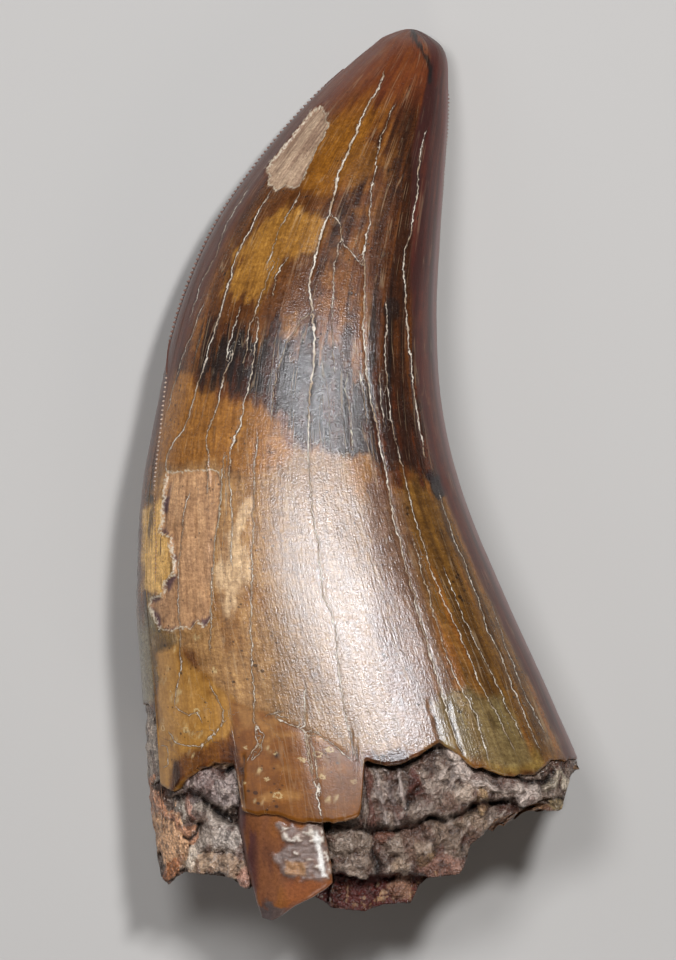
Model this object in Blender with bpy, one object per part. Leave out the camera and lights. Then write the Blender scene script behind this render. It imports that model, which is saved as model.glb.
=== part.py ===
"""A fossil tyrannosaur tooth, lying on its flatter side with its tip towards +Y.

The tooth is one solid. Its wall is lofted from oval sections that fan round the curve of the tooth, from the
chipped lower edge of the enamel to the worn tip. Below the enamel the wall steps in to the rough dentine and
stone of the break, and a fracture face closes the end. Lengths are in millimetres until the mesh is made.
"""

import math

import bmesh
import bpy
import numpy as np
from mathutils import Vector, noise

METRES = 0.001

# Sections from the broken end to the tip: front edge x, y, rear edge x, y, then the height of the widest line
# over the table, and how far the outer face rises above it and the resting face drops below it.
SECTIONS = np.array((
    (-25.0, -58.0, 31.0, -58.0, 15.7, 18.4, 17.0),
    (-26.1, -41.1, 29.2, -41.1, 15.6, 18.4, 16.9),
    (-26.6, -29.3, 24.9, -29.3, 15.3, 18.0, 16.5),
    (-27.6, -16.1, 18.9, -16.1, 14.8, 17.0, 15.5),
    (-27.2, -3.6, 13.7, -3.6, 14.1, 15.4, 13.9),
    (-25.3, 7.6, 10.9, 7.4, 13.1, 13.8, 12.4),
    (-22.4, 20.1, 10.1, 18.6, 11.8, 12.2, 10.9),
    (-17.8, 31.0, 10.5, 28.6, 10.1, 10.4, 9.3),
    (-11.5, 40.1, 11.1, 37.3, 8.3, 8.7, 7.9),
    (-5.6, 46.9, 11.6, 44.0, 6.5, 7.0, 6.9),
    (-1.1, 51.1, 11.7, 48.9, 5.0, 5.6, 5.7),
    (1.8, 53.5, 11.5, 52.1, 4.2, 4.3, 4.5),
    (3.8, 54.9, 10.3, 54.1, 3.9, 2.7, 2.7),
    (7.2, 55.7, 7.2, 55.7, 3.8, 0.0, 0.0),
))
TIP = len(SECTIONS) - 1

# How square a section is (2 is an ellipse): a keen front edge, a blunt rear one, a flatter resting face.
SQUARENESS, SQUARER_BEHIND, SQUARER_BELOW = 2.25, 0.35, 0.12

# Ragged edges as x, y points from the front edge to the rear one, on the outer and the resting face.
OUTER_ENAMEL_EDGE = np.array((
    (-26.0, -28.9), (-24.9, -30.5), (-24.6, -38.6), (-23.0, -39.4), (-21.2, -37.6), (-19.5, -36.9),
    (-17.8, -35.9), (-15.0, -36.1), (-14.1, -42.1), (-7.0, -43.0), (-1.4, -43.2), (0.5, -42.1),
    (1.0, -35.5), (3.6, -36.1), (6.1, -35.8), (10.5, -33.4), (12.0, -34.3), (14.9, -36.4),
    (18.6, -37.4), (22.4, -37.5), (24.0, -35.8), (28.4, -35.6),
))
OUTER_BREAK_EDGE = np.array((
    (-26.1, -41.1), (-25.0, -48.0), (-24.5, -50.5), (-23.5, -51.5), (-22.5, -50.5), (-21.3, -49.8),
    (-15.5, -50.4), (-14.5, -51.3), (-13.3, -52.0), (-12.5, -53.5), (-11.0, -55.7), (-9.3, -55.1),
    (-6.8, -53.5), (-3.0, -54.2), (1.0, -54.6), (3.5, -53.7), (6.8, -53.6), (7.8, -51.5), (9.0, -50.3),
    (12.8, -49.9), (13.5, -48.9), (14.2, -46.2), (15.8, -45.0), (17.3, -43.0), (20.5, -42.1),
    (21.8, -41.1), (24.0, -41.2), (25.0, -42.2), (25.6, -41.9), (26.3, -39.2), (27.5, -35.9),
))
RESTING_ENAMEL_EDGE = np.array((
    (-26.0, -28.9), (-24.0, -37.0), (-18.0, -40.2), (-12.0, -38.6), (-6.0, -39.4), (0.0, -41.6),
    (6.0, -38.4), (12.0, -37.6), (18.0, -39.8), (24.0, -36.0), (28.4, -35.6),
))
RESTING_BREAK_EDGE = np.array((
    (-26.0, -41.1), (-23.0, -44.6), (-17.0, -46.0), (-11.0, -48.4), (-4.0, -46.8), (3.0, -47.6),
    (9.0, -46.0), (15.0, -43.6), (21.0, -42.2), (25.0, -39.8), (28.4, -37.0),
))

# The break seen from the outer face: the splinter between two x values, the chips in front of it, and behind
# it the stone with two ledges. Steps are depths below the enamel, slopes deepen them towards the rim.
ENAMEL_STEP = 1.2
SPLINTER_FRONT, SPLINTER_REAR = -14.6, -3.0
SPLINTER_SLOPE = 0.1
CHIPS_STEP, CHIPS_SLOPE = 1.0, 0.3
UPPER_LEDGE = np.array(((-3.0, -43.8), (0.6, -43.6), (8.0, -42.4), (15.0, -40.8), (23.0, -39.6), (28.4, -39.0)))
LOWER_LEDGE_Y = -50.2
STONE_STEP, UPPER_LEDGE_STEP, LOWER_LEDGE_STEP = 1.2, 3.0, 4.4
LEDGE_WIDTH = 0.9
RESTING_LIFT = 0.45
ROUGHNESS, ROUGH_WAVE = 0.75, 3.6
SPLINTER_CALM = 0.35
LEAST_CLEARANCE = 0.3

# The fracture face: its level as x, y points. It leans towards the outer side, is lumpy, and dips over the
# stone-filled pulp cavity, whose wall is steeper the larger CAVITY_WALL is.
FRACTURE_LEVEL = np.array(((-26.0, -44.5), (-10.0, -47.0), (6.0, -46.2), (14.0, -43.4), (27.5, -38.0)))
FRACTURE_LEAN = 0.16
FRACTURE_MIDDLE = (1.5, 15.5)
FRACTURE_RINGS = 8
FRACTURE_ROUGHNESS = 1.5
RIM_FADE = 3.0
CAVITY_HALF_SIZE, CAVITY_DEPTH = (11.5, 5.0), 2.4
CAVITY_WALL = 1.6

OUTER_COLUMNS, RESTING_COLUMNS = 68, 36
CROWN_ROWS, BREAK_ROWS = 30, 8


def section_values(at):
    """Centre x, y, half-width x, y, height, rise and drop at a section number, on a Catmull-Rom curve.

    Past the tip the curve goes on into the mirror image of the last section, which makes the tip round.
    """
    front, rear = SECTIONS[:, 0:2], SECTIONS[:, 2:4]
    rows = np.hstack(((front + rear) / 2, (rear - front) / 2, SECTIONS[:, 4:7]))
    mirrored = rows[-2] * np.array((1, 1, -1, -1, 1, -1, -1))
    rows = np.vstack((2 * rows[0] - rows[1], rows, mirrored))
    first = min(int(at), TIP - 1)
    before, here, after, later = rows[first : first + 4]
    t = at - first
    return 0.5 * (
        2 * here
        + (after - before) * t
        + (2 * before - 5 * here + 4 * after - later) * t**2
        + (3 * here - before - 3 * after + later) * t**3
    )


SECTION_STEPS = np.linspace(0, TIP, 40 * TIP + 1)
SECTION_HEIGHTS = np.array([section_values(at)[1] for at in SECTION_STEPS])


def section_at(y):
    """The section number whose middle lies at this y."""
    return float(np.interp(y, SECTION_HEIGHTS, SECTION_STEPS))


def oval(angle):
    """A point on the unit section: 0 is the rear edge, a quarter turn the outer face, a half turn the front."""
    c, s = math.cos(angle), math.sin(angle)
    power = SQUARENESS + SQUARER_BEHIND * c - SQUARER_BELOW * s
    radius = (abs(c) ** power + abs(s) ** power) ** (-1 / power)
    return radius * c, radius * s


def column_angles():
    """Angles of the lengthwise lines. On the outer face each corner of the broken edge has a line of its own."""
    outer = np.linspace(0, math.pi, OUTER_COLUMNS, endpoint=False)
    resting = np.linspace(math.pi, 2 * math.pi, RESTING_COLUMNS, endpoint=False)
    spacing = outer[1]
    for x, y in (*OUTER_BREAK_EDGE[1:-1], *OUTER_ENAMEL_EDGE[1:-1]):
        corner = angle_through(x, y)
        nearest = int(np.argmin(abs(outer - corner)))
        if nearest > 0 and abs(outer[nearest] - corner) < spacing / 2:
            outer[nearest] = corner
    return [*outer, *resting]


def angle_through(x, y):
    """The angle of the lengthwise line that passes this point of the outer face, near the broken end."""
    values = section_values(section_at(y))
    angles = np.linspace(math.pi, 0, 400)
    across = [oval(angle)[0] for angle in angles]
    return float(np.interp((x - values[0]) / values[2], across, angles))


def edge_crossing(angle, edge):
    """The x and y where a lengthwise line, followed from the crown, first runs past a ragged edge."""
    across = oval(angle)[0]
    steps = np.linspace(3, 0, 121)
    values = np.array([section_values(at) for at in steps])
    x = values[:, 0] + values[:, 2] * across
    y = values[:, 1] + values[:, 3] * across
    past = y - np.interp(x, edge[:, 0], edge[:, 1])
    first = int(np.argmax(past < 0))
    t = past[first - 1] / (past[first - 1] - past[first])
    return x[first - 1] + t * (x[first] - x[first - 1]), y[first - 1] + t * (y[first] - y[first - 1])


def smooth_step(value):
    t = min(max(value, 0.0), 1.0)
    return t * t * (3 - 2 * t)


def wall_point(angle, at):
    """A point of the tooth's own surface. The resting face is flat where it touches the table."""
    x, y, half_x, half_y, height, rise, drop = section_values(at)
    across, up = oval(angle)
    z = height + up * (rise if up > 0 else drop)
    return Vector((x + half_x * across, y + half_y * across, max(z, 0.0)))


def outer_depth(x, y, edge_y):
    """How far the broken surface lies under the enamel's level, seen from the outer face."""
    below = edge_y - y
    if x < SPLINTER_FRONT:
        return ENAMEL_STEP + CHIPS_STEP + CHIPS_SLOPE * below
    if x < SPLINTER_REAR:
        return ENAMEL_STEP + SPLINTER_SLOPE * below
    ledge_y = float(np.interp(x, UPPER_LEDGE[:, 0], UPPER_LEDGE[:, 1]))
    upper = UPPER_LEDGE_STEP * smooth_step((ledge_y - y) / LEDGE_WIDTH)
    lower = LOWER_LEDGE_STEP * smooth_step((LOWER_LEDGE_Y - y) / LEDGE_WIDTH)
    return ENAMEL_STEP + STONE_STEP + upper + lower


def rough(point, wave, size):
    """Lumpy displacement of a point, the same on every run."""
    coarse = noise.noise_vector(point / wave)
    fine = noise.noise_vector(point / wave * 2.3 + Vector((7.0, 3.0, 5.0)))
    return (coarse + 0.5 * fine) * size


def broken_column(angle):
    """Points down the broken wall on one lengthwise line, from just under the enamel's edge to the rim."""
    outer = math.sin(angle) > 0
    enamel, rim = (OUTER_ENAMEL_EDGE, OUTER_BREAK_EDGE) if outer else (RESTING_ENAMEL_EDGE, RESTING_BREAK_EDGE)
    edge_y = edge_crossing(angle, enamel)[1]
    rim_x, rim_y = edge_crossing(angle, rim)
    across, up = oval(angle)
    calm = SPLINTER_CALM if SPLINTER_FRONT < rim_x < SPLINTER_REAR and outer else 1.0
    points = []
    for share in np.linspace(0, 1, BREAK_ROWS + 1):
        y = edge_y + (rim_y - edge_y) * share
        point = wall_point(angle, section_at(y))
        point.y = y
        if outer:
            point.z -= outer_depth(rim_x, y, edge_y) * up
        else:
            point.z -= (ENAMEL_STEP + RESTING_LIFT * (edge_y - y)) * up
        shift = rough(point, ROUGH_WAVE, ROUGHNESS * calm * smooth_step(3 * share))
        point.x += shift.x * (1 - across**4) * (1 - share)
        point.z = max(point.z + shift.z, LEAST_CLEARANCE)
        points.append(point)
    return points


def tooth_rings(angles):
    """Rings of points from the tip down the crown, over the broken wall and in across the fracture face."""
    broken = [broken_column(angle) for angle in angles]
    edges = [section_at(column[0].y) for column in broken]
    rings = []
    for row in range(1, CROWN_ROWS + 1):
        share = row / CROWN_ROWS
        rings.append([wall_point(angle, TIP + (edge - TIP) * share) for angle, edge in zip(angles, edges)])
    rings.extend(zip(*broken))
    rim = rings[-1]
    for row in range(1, FRACTURE_RINGS):
        rings.append([fracture_point(point, row / FRACTURE_RINGS) for point in rim])
    return rings


def fracture_point(rim_point, share):
    """A point of the fracture face, this share of the way from a point of the rim to the middle."""
    middle_x, middle_z = FRACTURE_MIDDLE
    x = rim_point.x + (middle_x - rim_point.x) * share
    z = rim_point.z + (middle_z - rim_point.z) * share
    level = float(np.interp(x, FRACTURE_LEVEL[:, 0], FRACTURE_LEVEL[:, 1])) - FRACTURE_LEAN * (z - middle_z)
    across, up = (x - middle_x) / CAVITY_HALF_SIZE[0], (z - middle_z) / CAVITY_HALF_SIZE[1]
    level += CAVITY_DEPTH * smooth_step(CAVITY_WALL * (1.25 - math.hypot(across, up)))
    level += rough(Vector((x, level, z)), ROUGH_WAVE, FRACTURE_ROUGHNESS).y
    held = (1 - share) ** RIM_FADE
    return Vector((x, rim_point.y * held + level * (1 - held), z))


def tooth_mesh():
    """Bridges the rings into one closed mesh, with a point at the tip and one in the fracture face."""
    mesh = bmesh.new()
    angles = column_angles()
    rings = [[mesh.verts.new(point * METRES) for point in ring] for ring in tooth_rings(angles)]
    tip = mesh.verts.new(wall_point(0.0, TIP) * METRES)
    centre = mesh.verts.new(fracture_point(Vector(), 1.0) * METRES)
    count = len(angles)
    for column in range(count):
        beside = (column + 1) % count
        mesh.faces.new((tip, rings[0][column], rings[0][beside]))
        mesh.faces.new((centre, rings[-1][beside], rings[-1][column]))
        for upper, lower in zip(rings, rings[1:]):
            mesh.faces.new((upper[column], lower[column], lower[beside], upper[beside]))
    bmesh.ops.recalc_face_normals(mesh, faces=mesh.faces)
    data = bpy.data.meshes.new("tooth")
    mesh.to_mesh(data)
    mesh.free()
    return data


def fossil_enamel():
    """Amber-brown polished enamel, the colour that most of the tooth has."""
    material = bpy.data.materials.new("fossil_enamel")
    material.use_nodes = True
    shader = material.node_tree.nodes["Principled BSDF"]
    shader.inputs["Base Color"].default_value = (0.28, 0.13, 0.045, 1.0)
    shader.inputs["Roughness"].default_value = 0.3
    shader.inputs["Metallic"].default_value = 0.0
    material.diffuse_color = (0.28, 0.13, 0.045, 1.0)
    return material


def main():
    for old in list(bpy.data.objects):
        bpy.data.objects.remove(old)
    tooth = bpy.data.objects.new("tooth", tooth_mesh())
    bpy.context.scene.collection.objects.link(tooth)
    tooth.data.materials.append(fossil_enamel())
    tooth.data.shade_smooth()
    tooth.data.set_sharp_from_angle(angle=math.radians(35))


main()
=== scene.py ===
"""The looks of a fossil tyrannosaur tooth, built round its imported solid, with shapes in millimetres."""
import itertools

import bpy
import numpy as np
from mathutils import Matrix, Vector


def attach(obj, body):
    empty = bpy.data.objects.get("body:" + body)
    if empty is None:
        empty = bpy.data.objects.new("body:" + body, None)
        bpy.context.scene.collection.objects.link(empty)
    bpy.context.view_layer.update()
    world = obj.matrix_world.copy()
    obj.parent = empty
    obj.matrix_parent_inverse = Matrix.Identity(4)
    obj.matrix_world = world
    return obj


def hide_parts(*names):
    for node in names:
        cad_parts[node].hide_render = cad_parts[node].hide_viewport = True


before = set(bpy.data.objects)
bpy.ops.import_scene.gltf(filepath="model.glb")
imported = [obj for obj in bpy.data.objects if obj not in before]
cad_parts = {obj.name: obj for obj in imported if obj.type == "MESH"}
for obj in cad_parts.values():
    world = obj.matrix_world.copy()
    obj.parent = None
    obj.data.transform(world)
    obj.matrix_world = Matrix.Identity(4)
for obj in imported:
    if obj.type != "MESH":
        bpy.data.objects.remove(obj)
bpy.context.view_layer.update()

MM = 0.001


# The crown: fossil enamel, a hard glassy skin about 1 mm thick over dentine. It grew in one piece, and in the
# ground it cracked lengthwise and took up iron and manganese, which stained it honey, brown and black. The
# sections are the solid's own: front edge x, y, rear edge x, y, height of the widest line, rise and drop.
SECTIONS = np.array((
    (-25.0, -58.0, 31.0, -58.0, 15.7, 18.4, 17.0),
    (-26.1, -41.1, 29.2, -41.1, 15.6, 18.4, 16.9),
    (-26.6, -29.3, 24.9, -29.3, 15.3, 18.0, 16.5),
    (-27.6, -16.1, 18.9, -16.1, 14.8, 17.0, 15.5),
    (-27.2, -3.6, 13.7, -3.6, 14.1, 15.4, 13.9),
    (-25.3, 7.6, 10.9, 7.4, 13.1, 13.8, 12.4),
    (-22.4, 20.1, 10.1, 18.6, 11.8, 12.2, 10.9),
    (-17.8, 31.0, 10.5, 28.6, 10.1, 10.4, 9.3),
    (-11.5, 40.1, 11.1, 37.3, 8.3, 8.7, 7.9),
    (-5.6, 46.9, 11.6, 44.0, 6.5, 7.0, 6.9),
    (-1.1, 51.1, 11.7, 48.9, 5.0, 5.6, 5.7),
    (1.8, 53.5, 11.5, 52.1, 4.2, 4.3, 4.5),
    (3.8, 54.9, 10.3, 54.1, 3.9, 2.7, 2.7),
    (7.2, 55.7, 7.2, 55.7, 3.8, 0.0, 0.0),
))
TIP = len(SECTIONS) - 1
SQUARENESS, SQUARER_BEHIND, SQUARER_BELOW = 2.25, 0.35, 0.12

# The enamel's ragged lower edge as x, y points, on the outer face and on the face that the tooth lies on.
OUTER_EDGE = np.reshape((
    -26, -28.9, -24.9, -30.5, -24.6, -38.6, -23, -39.4, -21.2, -37.6, -19.5, -36.9, -17.8, -35.9, -15, -36.1,
    -14.1, -42.1, -7, -43, -1.4, -43.2, 0.5, -42.1, 1, -35.5, 3.6, -36.1, 6.1, -35.8, 10.5, -33.4, 12,
    -34.3, 14.9, -36.4, 18.6, -37.4, 22.4, -37.5, 24, -35.8, 28.4, -35.6
), (-1, 2))
RESTING_EDGE = np.reshape((
    -26, -28.9, -24, -37, -18, -40.2, -12, -38.6, -6, -39.4, 0, -41.6, 6, -38.4, 12, -37.6, 18, -39.8, 24,
    -36, 28.4, -35.6
), (-1, 2))
OUTER_COLUMNS, RESTING_COLUMNS, CROWN_ROWS = 252, 118, 258
ENAMEL_THICKNESS, LIP_DEPTH = 1.1, 2.4


def section_values(at):
    """Centre x, y, half-width x, y, height, rise and drop at section numbers: a Catmull-Rom curve through the
    sections, which goes on past the tip into the mirror image of the last one."""
    front, rear = SECTIONS[:, 0:2], SECTIONS[:, 2:4]
    rows = np.hstack(((front + rear) / 2, (rear - front) / 2, SECTIONS[:, 4:7]))
    rows = np.vstack((2 * rows[0] - rows[1], rows, rows[-2] * np.array((1, 1, -1, -1, 1, -1, -1))))
    first = np.clip(np.asarray(at).astype(int), 0, TIP - 1)
    t = (at - first)[..., None]
    before, here, after, later = (rows[first + step] for step in range(4))
    return 0.5 * (2 * here + (after - before) * t + (2 * before - 5 * here + 4 * after - later) * t**2
                  + (3 * here - before - 3 * after + later) * t**3)


STEPS = np.linspace(0, TIP, 100 * TIP + 1)
STEP_VALUES = section_values(STEPS)
STEP_LENGTHS = np.concatenate(((0,), np.cumsum(np.linalg.norm(np.diff(STEP_VALUES[:, :3], axis=0), axis=1))))


def wall(angle, at, inset=0.0):
    """Points of the tooth's surface: an oval section of the given squareness, turned by angle from the rear
    edge over the outer face, and drawn in towards its middle by inset."""
    x, y, half_x, half_y, height, rise, drop = np.moveaxis(section_values(at), -1, 0)
    c, s = np.cos(angle), np.sin(angle)
    power = SQUARENESS + SQUARER_BEHIND * c - SQUARER_BELOW * s
    radius = (abs(c) ** power + abs(s) ** power) ** (-1 / power)
    across, up = radius * c, radius * s
    z = height + up * np.maximum(np.where(up > 0, rise, drop) - inset, 0)
    shrink = np.maximum(1 - inset / np.maximum(half_x, 0.01), 0)
    return np.stack((x + half_x * shrink * across, y + half_y * shrink * across, np.maximum(z, 0)), axis=-1)


def edge_section(angles, outer_edge, resting_edge, raggedness=0.0):
    """The section number where each lengthwise line, followed down the crown, first passes a ragged edge."""
    steps = np.linspace(4, 0, 801)[:, None] + np.zeros(len(angles))
    points = wall(angles[None, :] + 0 * steps, steps)
    outer = np.sin(angles) > 0
    level = np.where(
        outer,
        np.interp(points[..., 0], outer_edge[:, 0], outer_edge[:, 1]),
        np.interp(points[..., 0], resting_edge[:, 0], resting_edge[:, 1]),
    )
    level = level + raggedness * fractal(points * np.array((1, 0, 1)), 1.6, 3, 11)
    first = np.argmax(points[..., 1] < level, axis=0)
    return steps[first, 0]


def lattice_noise(points, seed):
    """Smooth noise from -1 to 1: hashed values at whole-number lattice points, blended with a cubic ease."""
    cell = np.floor(points).astype(np.int64)
    t = points - cell
    t = t * t * (3 - 2 * t)
    total = np.zeros(points.shape[:-1])
    for corner in itertools.product((0, 1), repeat=3):
        x, y, z = np.moveaxis(cell + np.array(corner), -1, 0)
        mixed = (x * 73856093 ^ y * 19349663 ^ z * 83492791 ^ seed * 2654435761) & 0xFFFFFFFF
        mixed = ((mixed ^ (mixed >> 13)) * 1274126177) & 0xFFFFFFFF
        mixed = ((mixed ^ (mixed >> 16)) * 2246822519) & 0xFFFFFFFF
        value = (mixed ^ (mixed >> 15)) / 2**31 - 1
        total += value * np.prod(np.where(corner, t, 1 - t), axis=-1)
    return total


def fractal(points, size, octaves, seed):
    """Octaves of lattice noise, each at half the size and half the height of the one before."""
    total, height = np.zeros(points.shape[:-1]), 0.0
    for octave in range(octaves):
        total += lattice_noise(points / size * 2**octave + 17.3 * octave, seed + octave) / 2**octave
        height += 0.6 / 2**octave
    return total / height


def ease(value):
    """0 below 0, 1 above 1 and a cubic ease between."""
    t = np.clip(value, 0, 1)
    return t * t * (3 - 2 * t)


def inside(points, outline):
    """How far x, y points lie inside a closed outline, negative outside: the distance to its nearest side.
    The outline is a run of x, y, x, y numbers."""
    outline = np.reshape(outline, (-1, 2))
    nearest = np.full(points.shape[:-1], 1e9)
    within = np.zeros(points.shape[:-1], bool)
    for start, end in zip(outline, np.roll(outline, -1, axis=0)):
        side, offset = end - start, points - start
        t = np.clip((offset @ side) / (side @ side), 0, 1)
        nearest = np.minimum(nearest, np.linalg.norm(offset - t[..., None] * side, axis=-1))
        crosses = (start[1] > points[..., 1]) != (end[1] > points[..., 1])
        rise = np.where(crosses, (points[..., 1] - start[1]) / (end[1] - start[1] or 1e-9), 0)
        within ^= crosses & (offset[..., 0] < rise * side[0])
    return np.where(within, nearest, -nearest)


def along(points, line):
    """The signed distance to an open line, a run of x, y, x, y numbers, positive on its left, and the share
    of its length."""
    line = np.reshape(line, (-1, 2))
    lengths = np.concatenate(((0,), np.cumsum(np.linalg.norm(np.diff(line, axis=0), axis=1))))
    nearest, share = np.full(points.shape[:-1], 1e9), np.zeros(points.shape[:-1])
    for number, (start, end) in enumerate(zip(line, line[1:])):
        side, offset = end - start, points - start
        t = np.clip((offset @ side) / (side @ side), 0, 1)
        away = np.linalg.norm(offset - t[..., None] * side, axis=-1)
        away = np.copysign(away, side[0] * offset[..., 1] - side[1] * offset[..., 0])
        closer = abs(away) < abs(nearest)
        nearest = np.where(closer, away, nearest)
        reached = lengths[number] + t * (lengths[number + 1] - lengths[number])
        share = np.where(closer, reached / lengths[-1], share)
    return nearest, share


def linear(colour):
    """An sRGB hex colour as linear red, green and blue."""
    srgb = np.array([int(colour[i : i + 2], 16) / 255 for i in (1, 3, 5)])
    return np.where(srgb <= 0.04045, srgb / 12.92, ((srgb + 0.055) / 1.055) ** 2.4)


def paint(ground, *coats):
    """Lays coats of colour over the ground colour one after another, each as thickly as its weight says."""
    for colour, weight in coats:
        ground = ground + (linear(colour) - ground) * np.clip(weight, 0, 1)[..., None]
    return ground


# The photograph's view: the lens looks straight down from 1.5 m, and the picture's middle is at this x, y.
LENS_HEIGHT, PICTURE_MIDDLE, WIDEST_LEVEL = 1500.0, np.array((-2.25, -1.1)), 15.0


def seen(points):
    """Where a point appears to the lens, as x, y at the level of the tooth's widest line."""
    nearer = LENS_HEIGHT / (LENS_HEIGHT - (points[..., 2] - WIDEST_LEVEL))
    return PICTURE_MIDDLE + (points[..., :2] - PICTURE_MIDDLE) * nearer[..., None]


def grid_normals(points):
    """Unit normals of closed rings of points, from the cross product of their differences both ways."""
    down = np.gradient(points, axis=0)
    ring = (np.roll(points, -1, axis=1) - np.roll(points, 1, axis=1)) / 2
    normal = np.cross(down, ring)
    return normal / np.maximum(np.linalg.norm(normal, axis=-1, keepdims=True), 1e-9)


def solid_of_rings(name, rings, first_pole, last_pole, attributes):
    """A closed mesh from rings of points that turn from +X over +Z as they go towards +Y, with a pole at each
    end. Attributes have a value for each ring point, and a pole takes the mean of the ring beside it."""
    rows, columns = rings.shape[:2]
    vertices = np.vstack((rings.reshape(-1, 3), first_pole, last_pole))
    corner = np.arange(rows * columns).reshape(rows, columns)
    here, beside = corner, np.roll(corner, -1, axis=1)
    quads = np.stack((here[1:], beside[1:], beside[:-1], here[:-1]), axis=-1).reshape(-1, 4)
    first = np.stack((here[0], beside[0], np.full(columns, rows * columns)), axis=-1)
    last = np.stack((beside[-1], here[-1], np.full(columns, rows * columns + 1)), axis=-1)
    faces = quads.tolist() + first.tolist() + last.tolist()
    mesh = bpy.data.meshes.new(name)
    mesh.from_pydata((vertices * MM).tolist(), [], faces)
    for title, values in attributes.items():
        flat = values.reshape(rows * columns, -1)
        flat = np.vstack((flat, flat[:columns].mean(0), flat[-columns:].mean(0)))
        kind, key = ("FLOAT", "value") if flat.shape[1] == 1 else ("FLOAT_VECTOR", "vector")
        if title == "ground":
            kind, key, flat = "FLOAT_COLOR", "color", np.hstack((flat, np.ones((len(flat), 1))))
        mesh.attributes.new(title, kind, "POINT").data.foreach_set(key, flat.astype(np.float32).ravel())
    mesh.shade_smooth()
    piece = bpy.data.objects.new(name, mesh)
    bpy.context.scene.collection.objects.link(piece)
    return piece


angles = np.concatenate((
    np.linspace(0, np.pi, OUTER_COLUMNS, endpoint=False),
    np.linspace(np.pi, 2 * np.pi, RESTING_COLUMNS, endpoint=False),
))
edge = edge_section(angles, OUTER_EDGE, RESTING_EDGE, 0.28)
edge_length = np.interp(edge, STEPS, STEP_LENGTHS)
share = np.linspace(0, 1, CROWN_ROWS, endpoint=False)[:, None]
length = edge_length + (STEP_LENGTHS[-1] - edge_length) * share
crown_at = np.interp(length, STEP_LENGTHS, STEPS)
crown_angle = angles + 0 * crown_at
crown = wall(crown_angle, crown_at)
crown_seen = seen(crown)
seen_x, seen_y = crown_seen[..., 0], crown_seen[..., 1]
outer_half = np.sin(crown_angle) > 0
outer_side = ease(np.sin(crown_angle) * 6 + 0.5)

# A vector that follows the surface, in millimetres: round the section in x and y, and along the tooth in z.
WRAP_RADIUS = 18.0
wrap = np.stack((WRAP_RADIUS * np.cos(crown_angle), WRAP_RADIUS * np.sin(crown_angle), length), axis=-1)
fingers = fractal(wrap * np.array((1, 1, 0.14)), 0.9, 3, 21)
clouds = fractal(wrap, 7.0, 4, 31)
mottle = fractal(wrap, 1.8, 4, 41)
strands = fractal(wrap * np.array((1, 1, 0.07)), 1.1, 3, 51) * ease((STEP_LENGTHS[-1] - length) / 14)
fingers *= ease((STEP_LENGTHS[-1] - length) / 10)

# Where the face below can't be seen, the same stains run on, pushed about by slow noise.
below = (1 - outer_side)[..., None]
drift = np.stack((fractal(wrap, 16.0, 2, 61), fractal(wrap, 16.0, 2, 71)), axis=-1) * 7
stain_at = crown_seen + drift * below * ease(-np.sin(crown_angle) * 2)[..., None]
stain_x, stain_y = stain_at[..., 0], stain_at[..., 1]


def zone(outline, softness, fingering=0.6, clouding=0.3):
    """How much of a stained zone's colour shows: its outline, frayed lengthwise and by cloudy noise."""
    fray = fingers * fingering + mottle * clouding
    return ease(0.5 + (inside(stain_at, outline) + fray) / softness)


def stain(colour, weight):
    """Lays a colour over the crown's ground colour, as thickly as weight says."""
    ground[:] = paint(ground, (colour, weight))


ground = np.zeros(crown.shape) + linear("#6b3c17")
stain("#3d200c", ease(0.32 + 0.9 * strands + 0.4 * clouds))
stain("#8f5a20", ease(0.25 + 0.9 * mottle - 0.8 * strands) * 0.75)

# Honey and amber ground of the front half, above the dark band.
front_half = (-2, 48.5, 1.6, 48, 0, 43, -2.4, 37, -4.2, 31, -5.2, 24, -5.4, 17.5, -12, 18, -18, 19.5, -19.5,
    22, -16, 29, -11, 36, -6, 43)
upper_amber = (-4.6, 43, -0.5, 45.8, 2.4, 48.2, 2.2, 44, 0.2, 40, -1.4, 37, -3.2, 34.5, -7, 35, -6, 39)
right_amber = (-1, 40.1, 2, 41.4, 2.5, 39.1, 2, 36.9, -0.8, 36.1, -1.8, 37.4)
stain("#673c17", 0.9 * zone(front_half, 2.6))
stain("#935d18", 0.85 * zone(upper_amber, 1.4))
stain("#85551b", 0.8 * zone(right_amber, 1.2))
honey = (-15, 27.6, -13.6, 30.1, -11, 31.8, -7, 32.5, -4.4, 31.1, -4.6, 28.5, -5.5, 27.1, -8.2, 27.1, -9.9,
    25.6, -10.8, 23.2, -11.8, 20.6, -13.8, 21.9, -15.9, 22.6, -15.6, 25.4)
stain("#ab7831", zone(honey, 1.3, 1.3, 1.0) * (0.85 + 0.3 * mottle))

# Brown ground with orange and near-black streaks along the rear half.
rear_half = (6.5, 46, 9.5, 50, 9.2, 30, 8.6, 10, 10.5, 0, 3, 2, 1, 12, 2.4, 24, 3.4, 34)
stain("#361a0a", 0.9 * zone(rear_half, 3.0))
stain("#6b3a10", zone(rear_half, 2.0) * ease(1.6 * strands - 0.1) * 0.75)
stain("#190d07", zone(rear_half, 2.0) * ease(-1.8 * strands - 0.25) * 0.85)
tip_streak = (5.2, 46, 7.4, 47.5, 8.8, 44, 8.4, 37, 6.6, 36, 5.4, 41)
stain("#24130c", zone(tip_streak, 1.8, 1.0) * 0.45)

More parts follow.
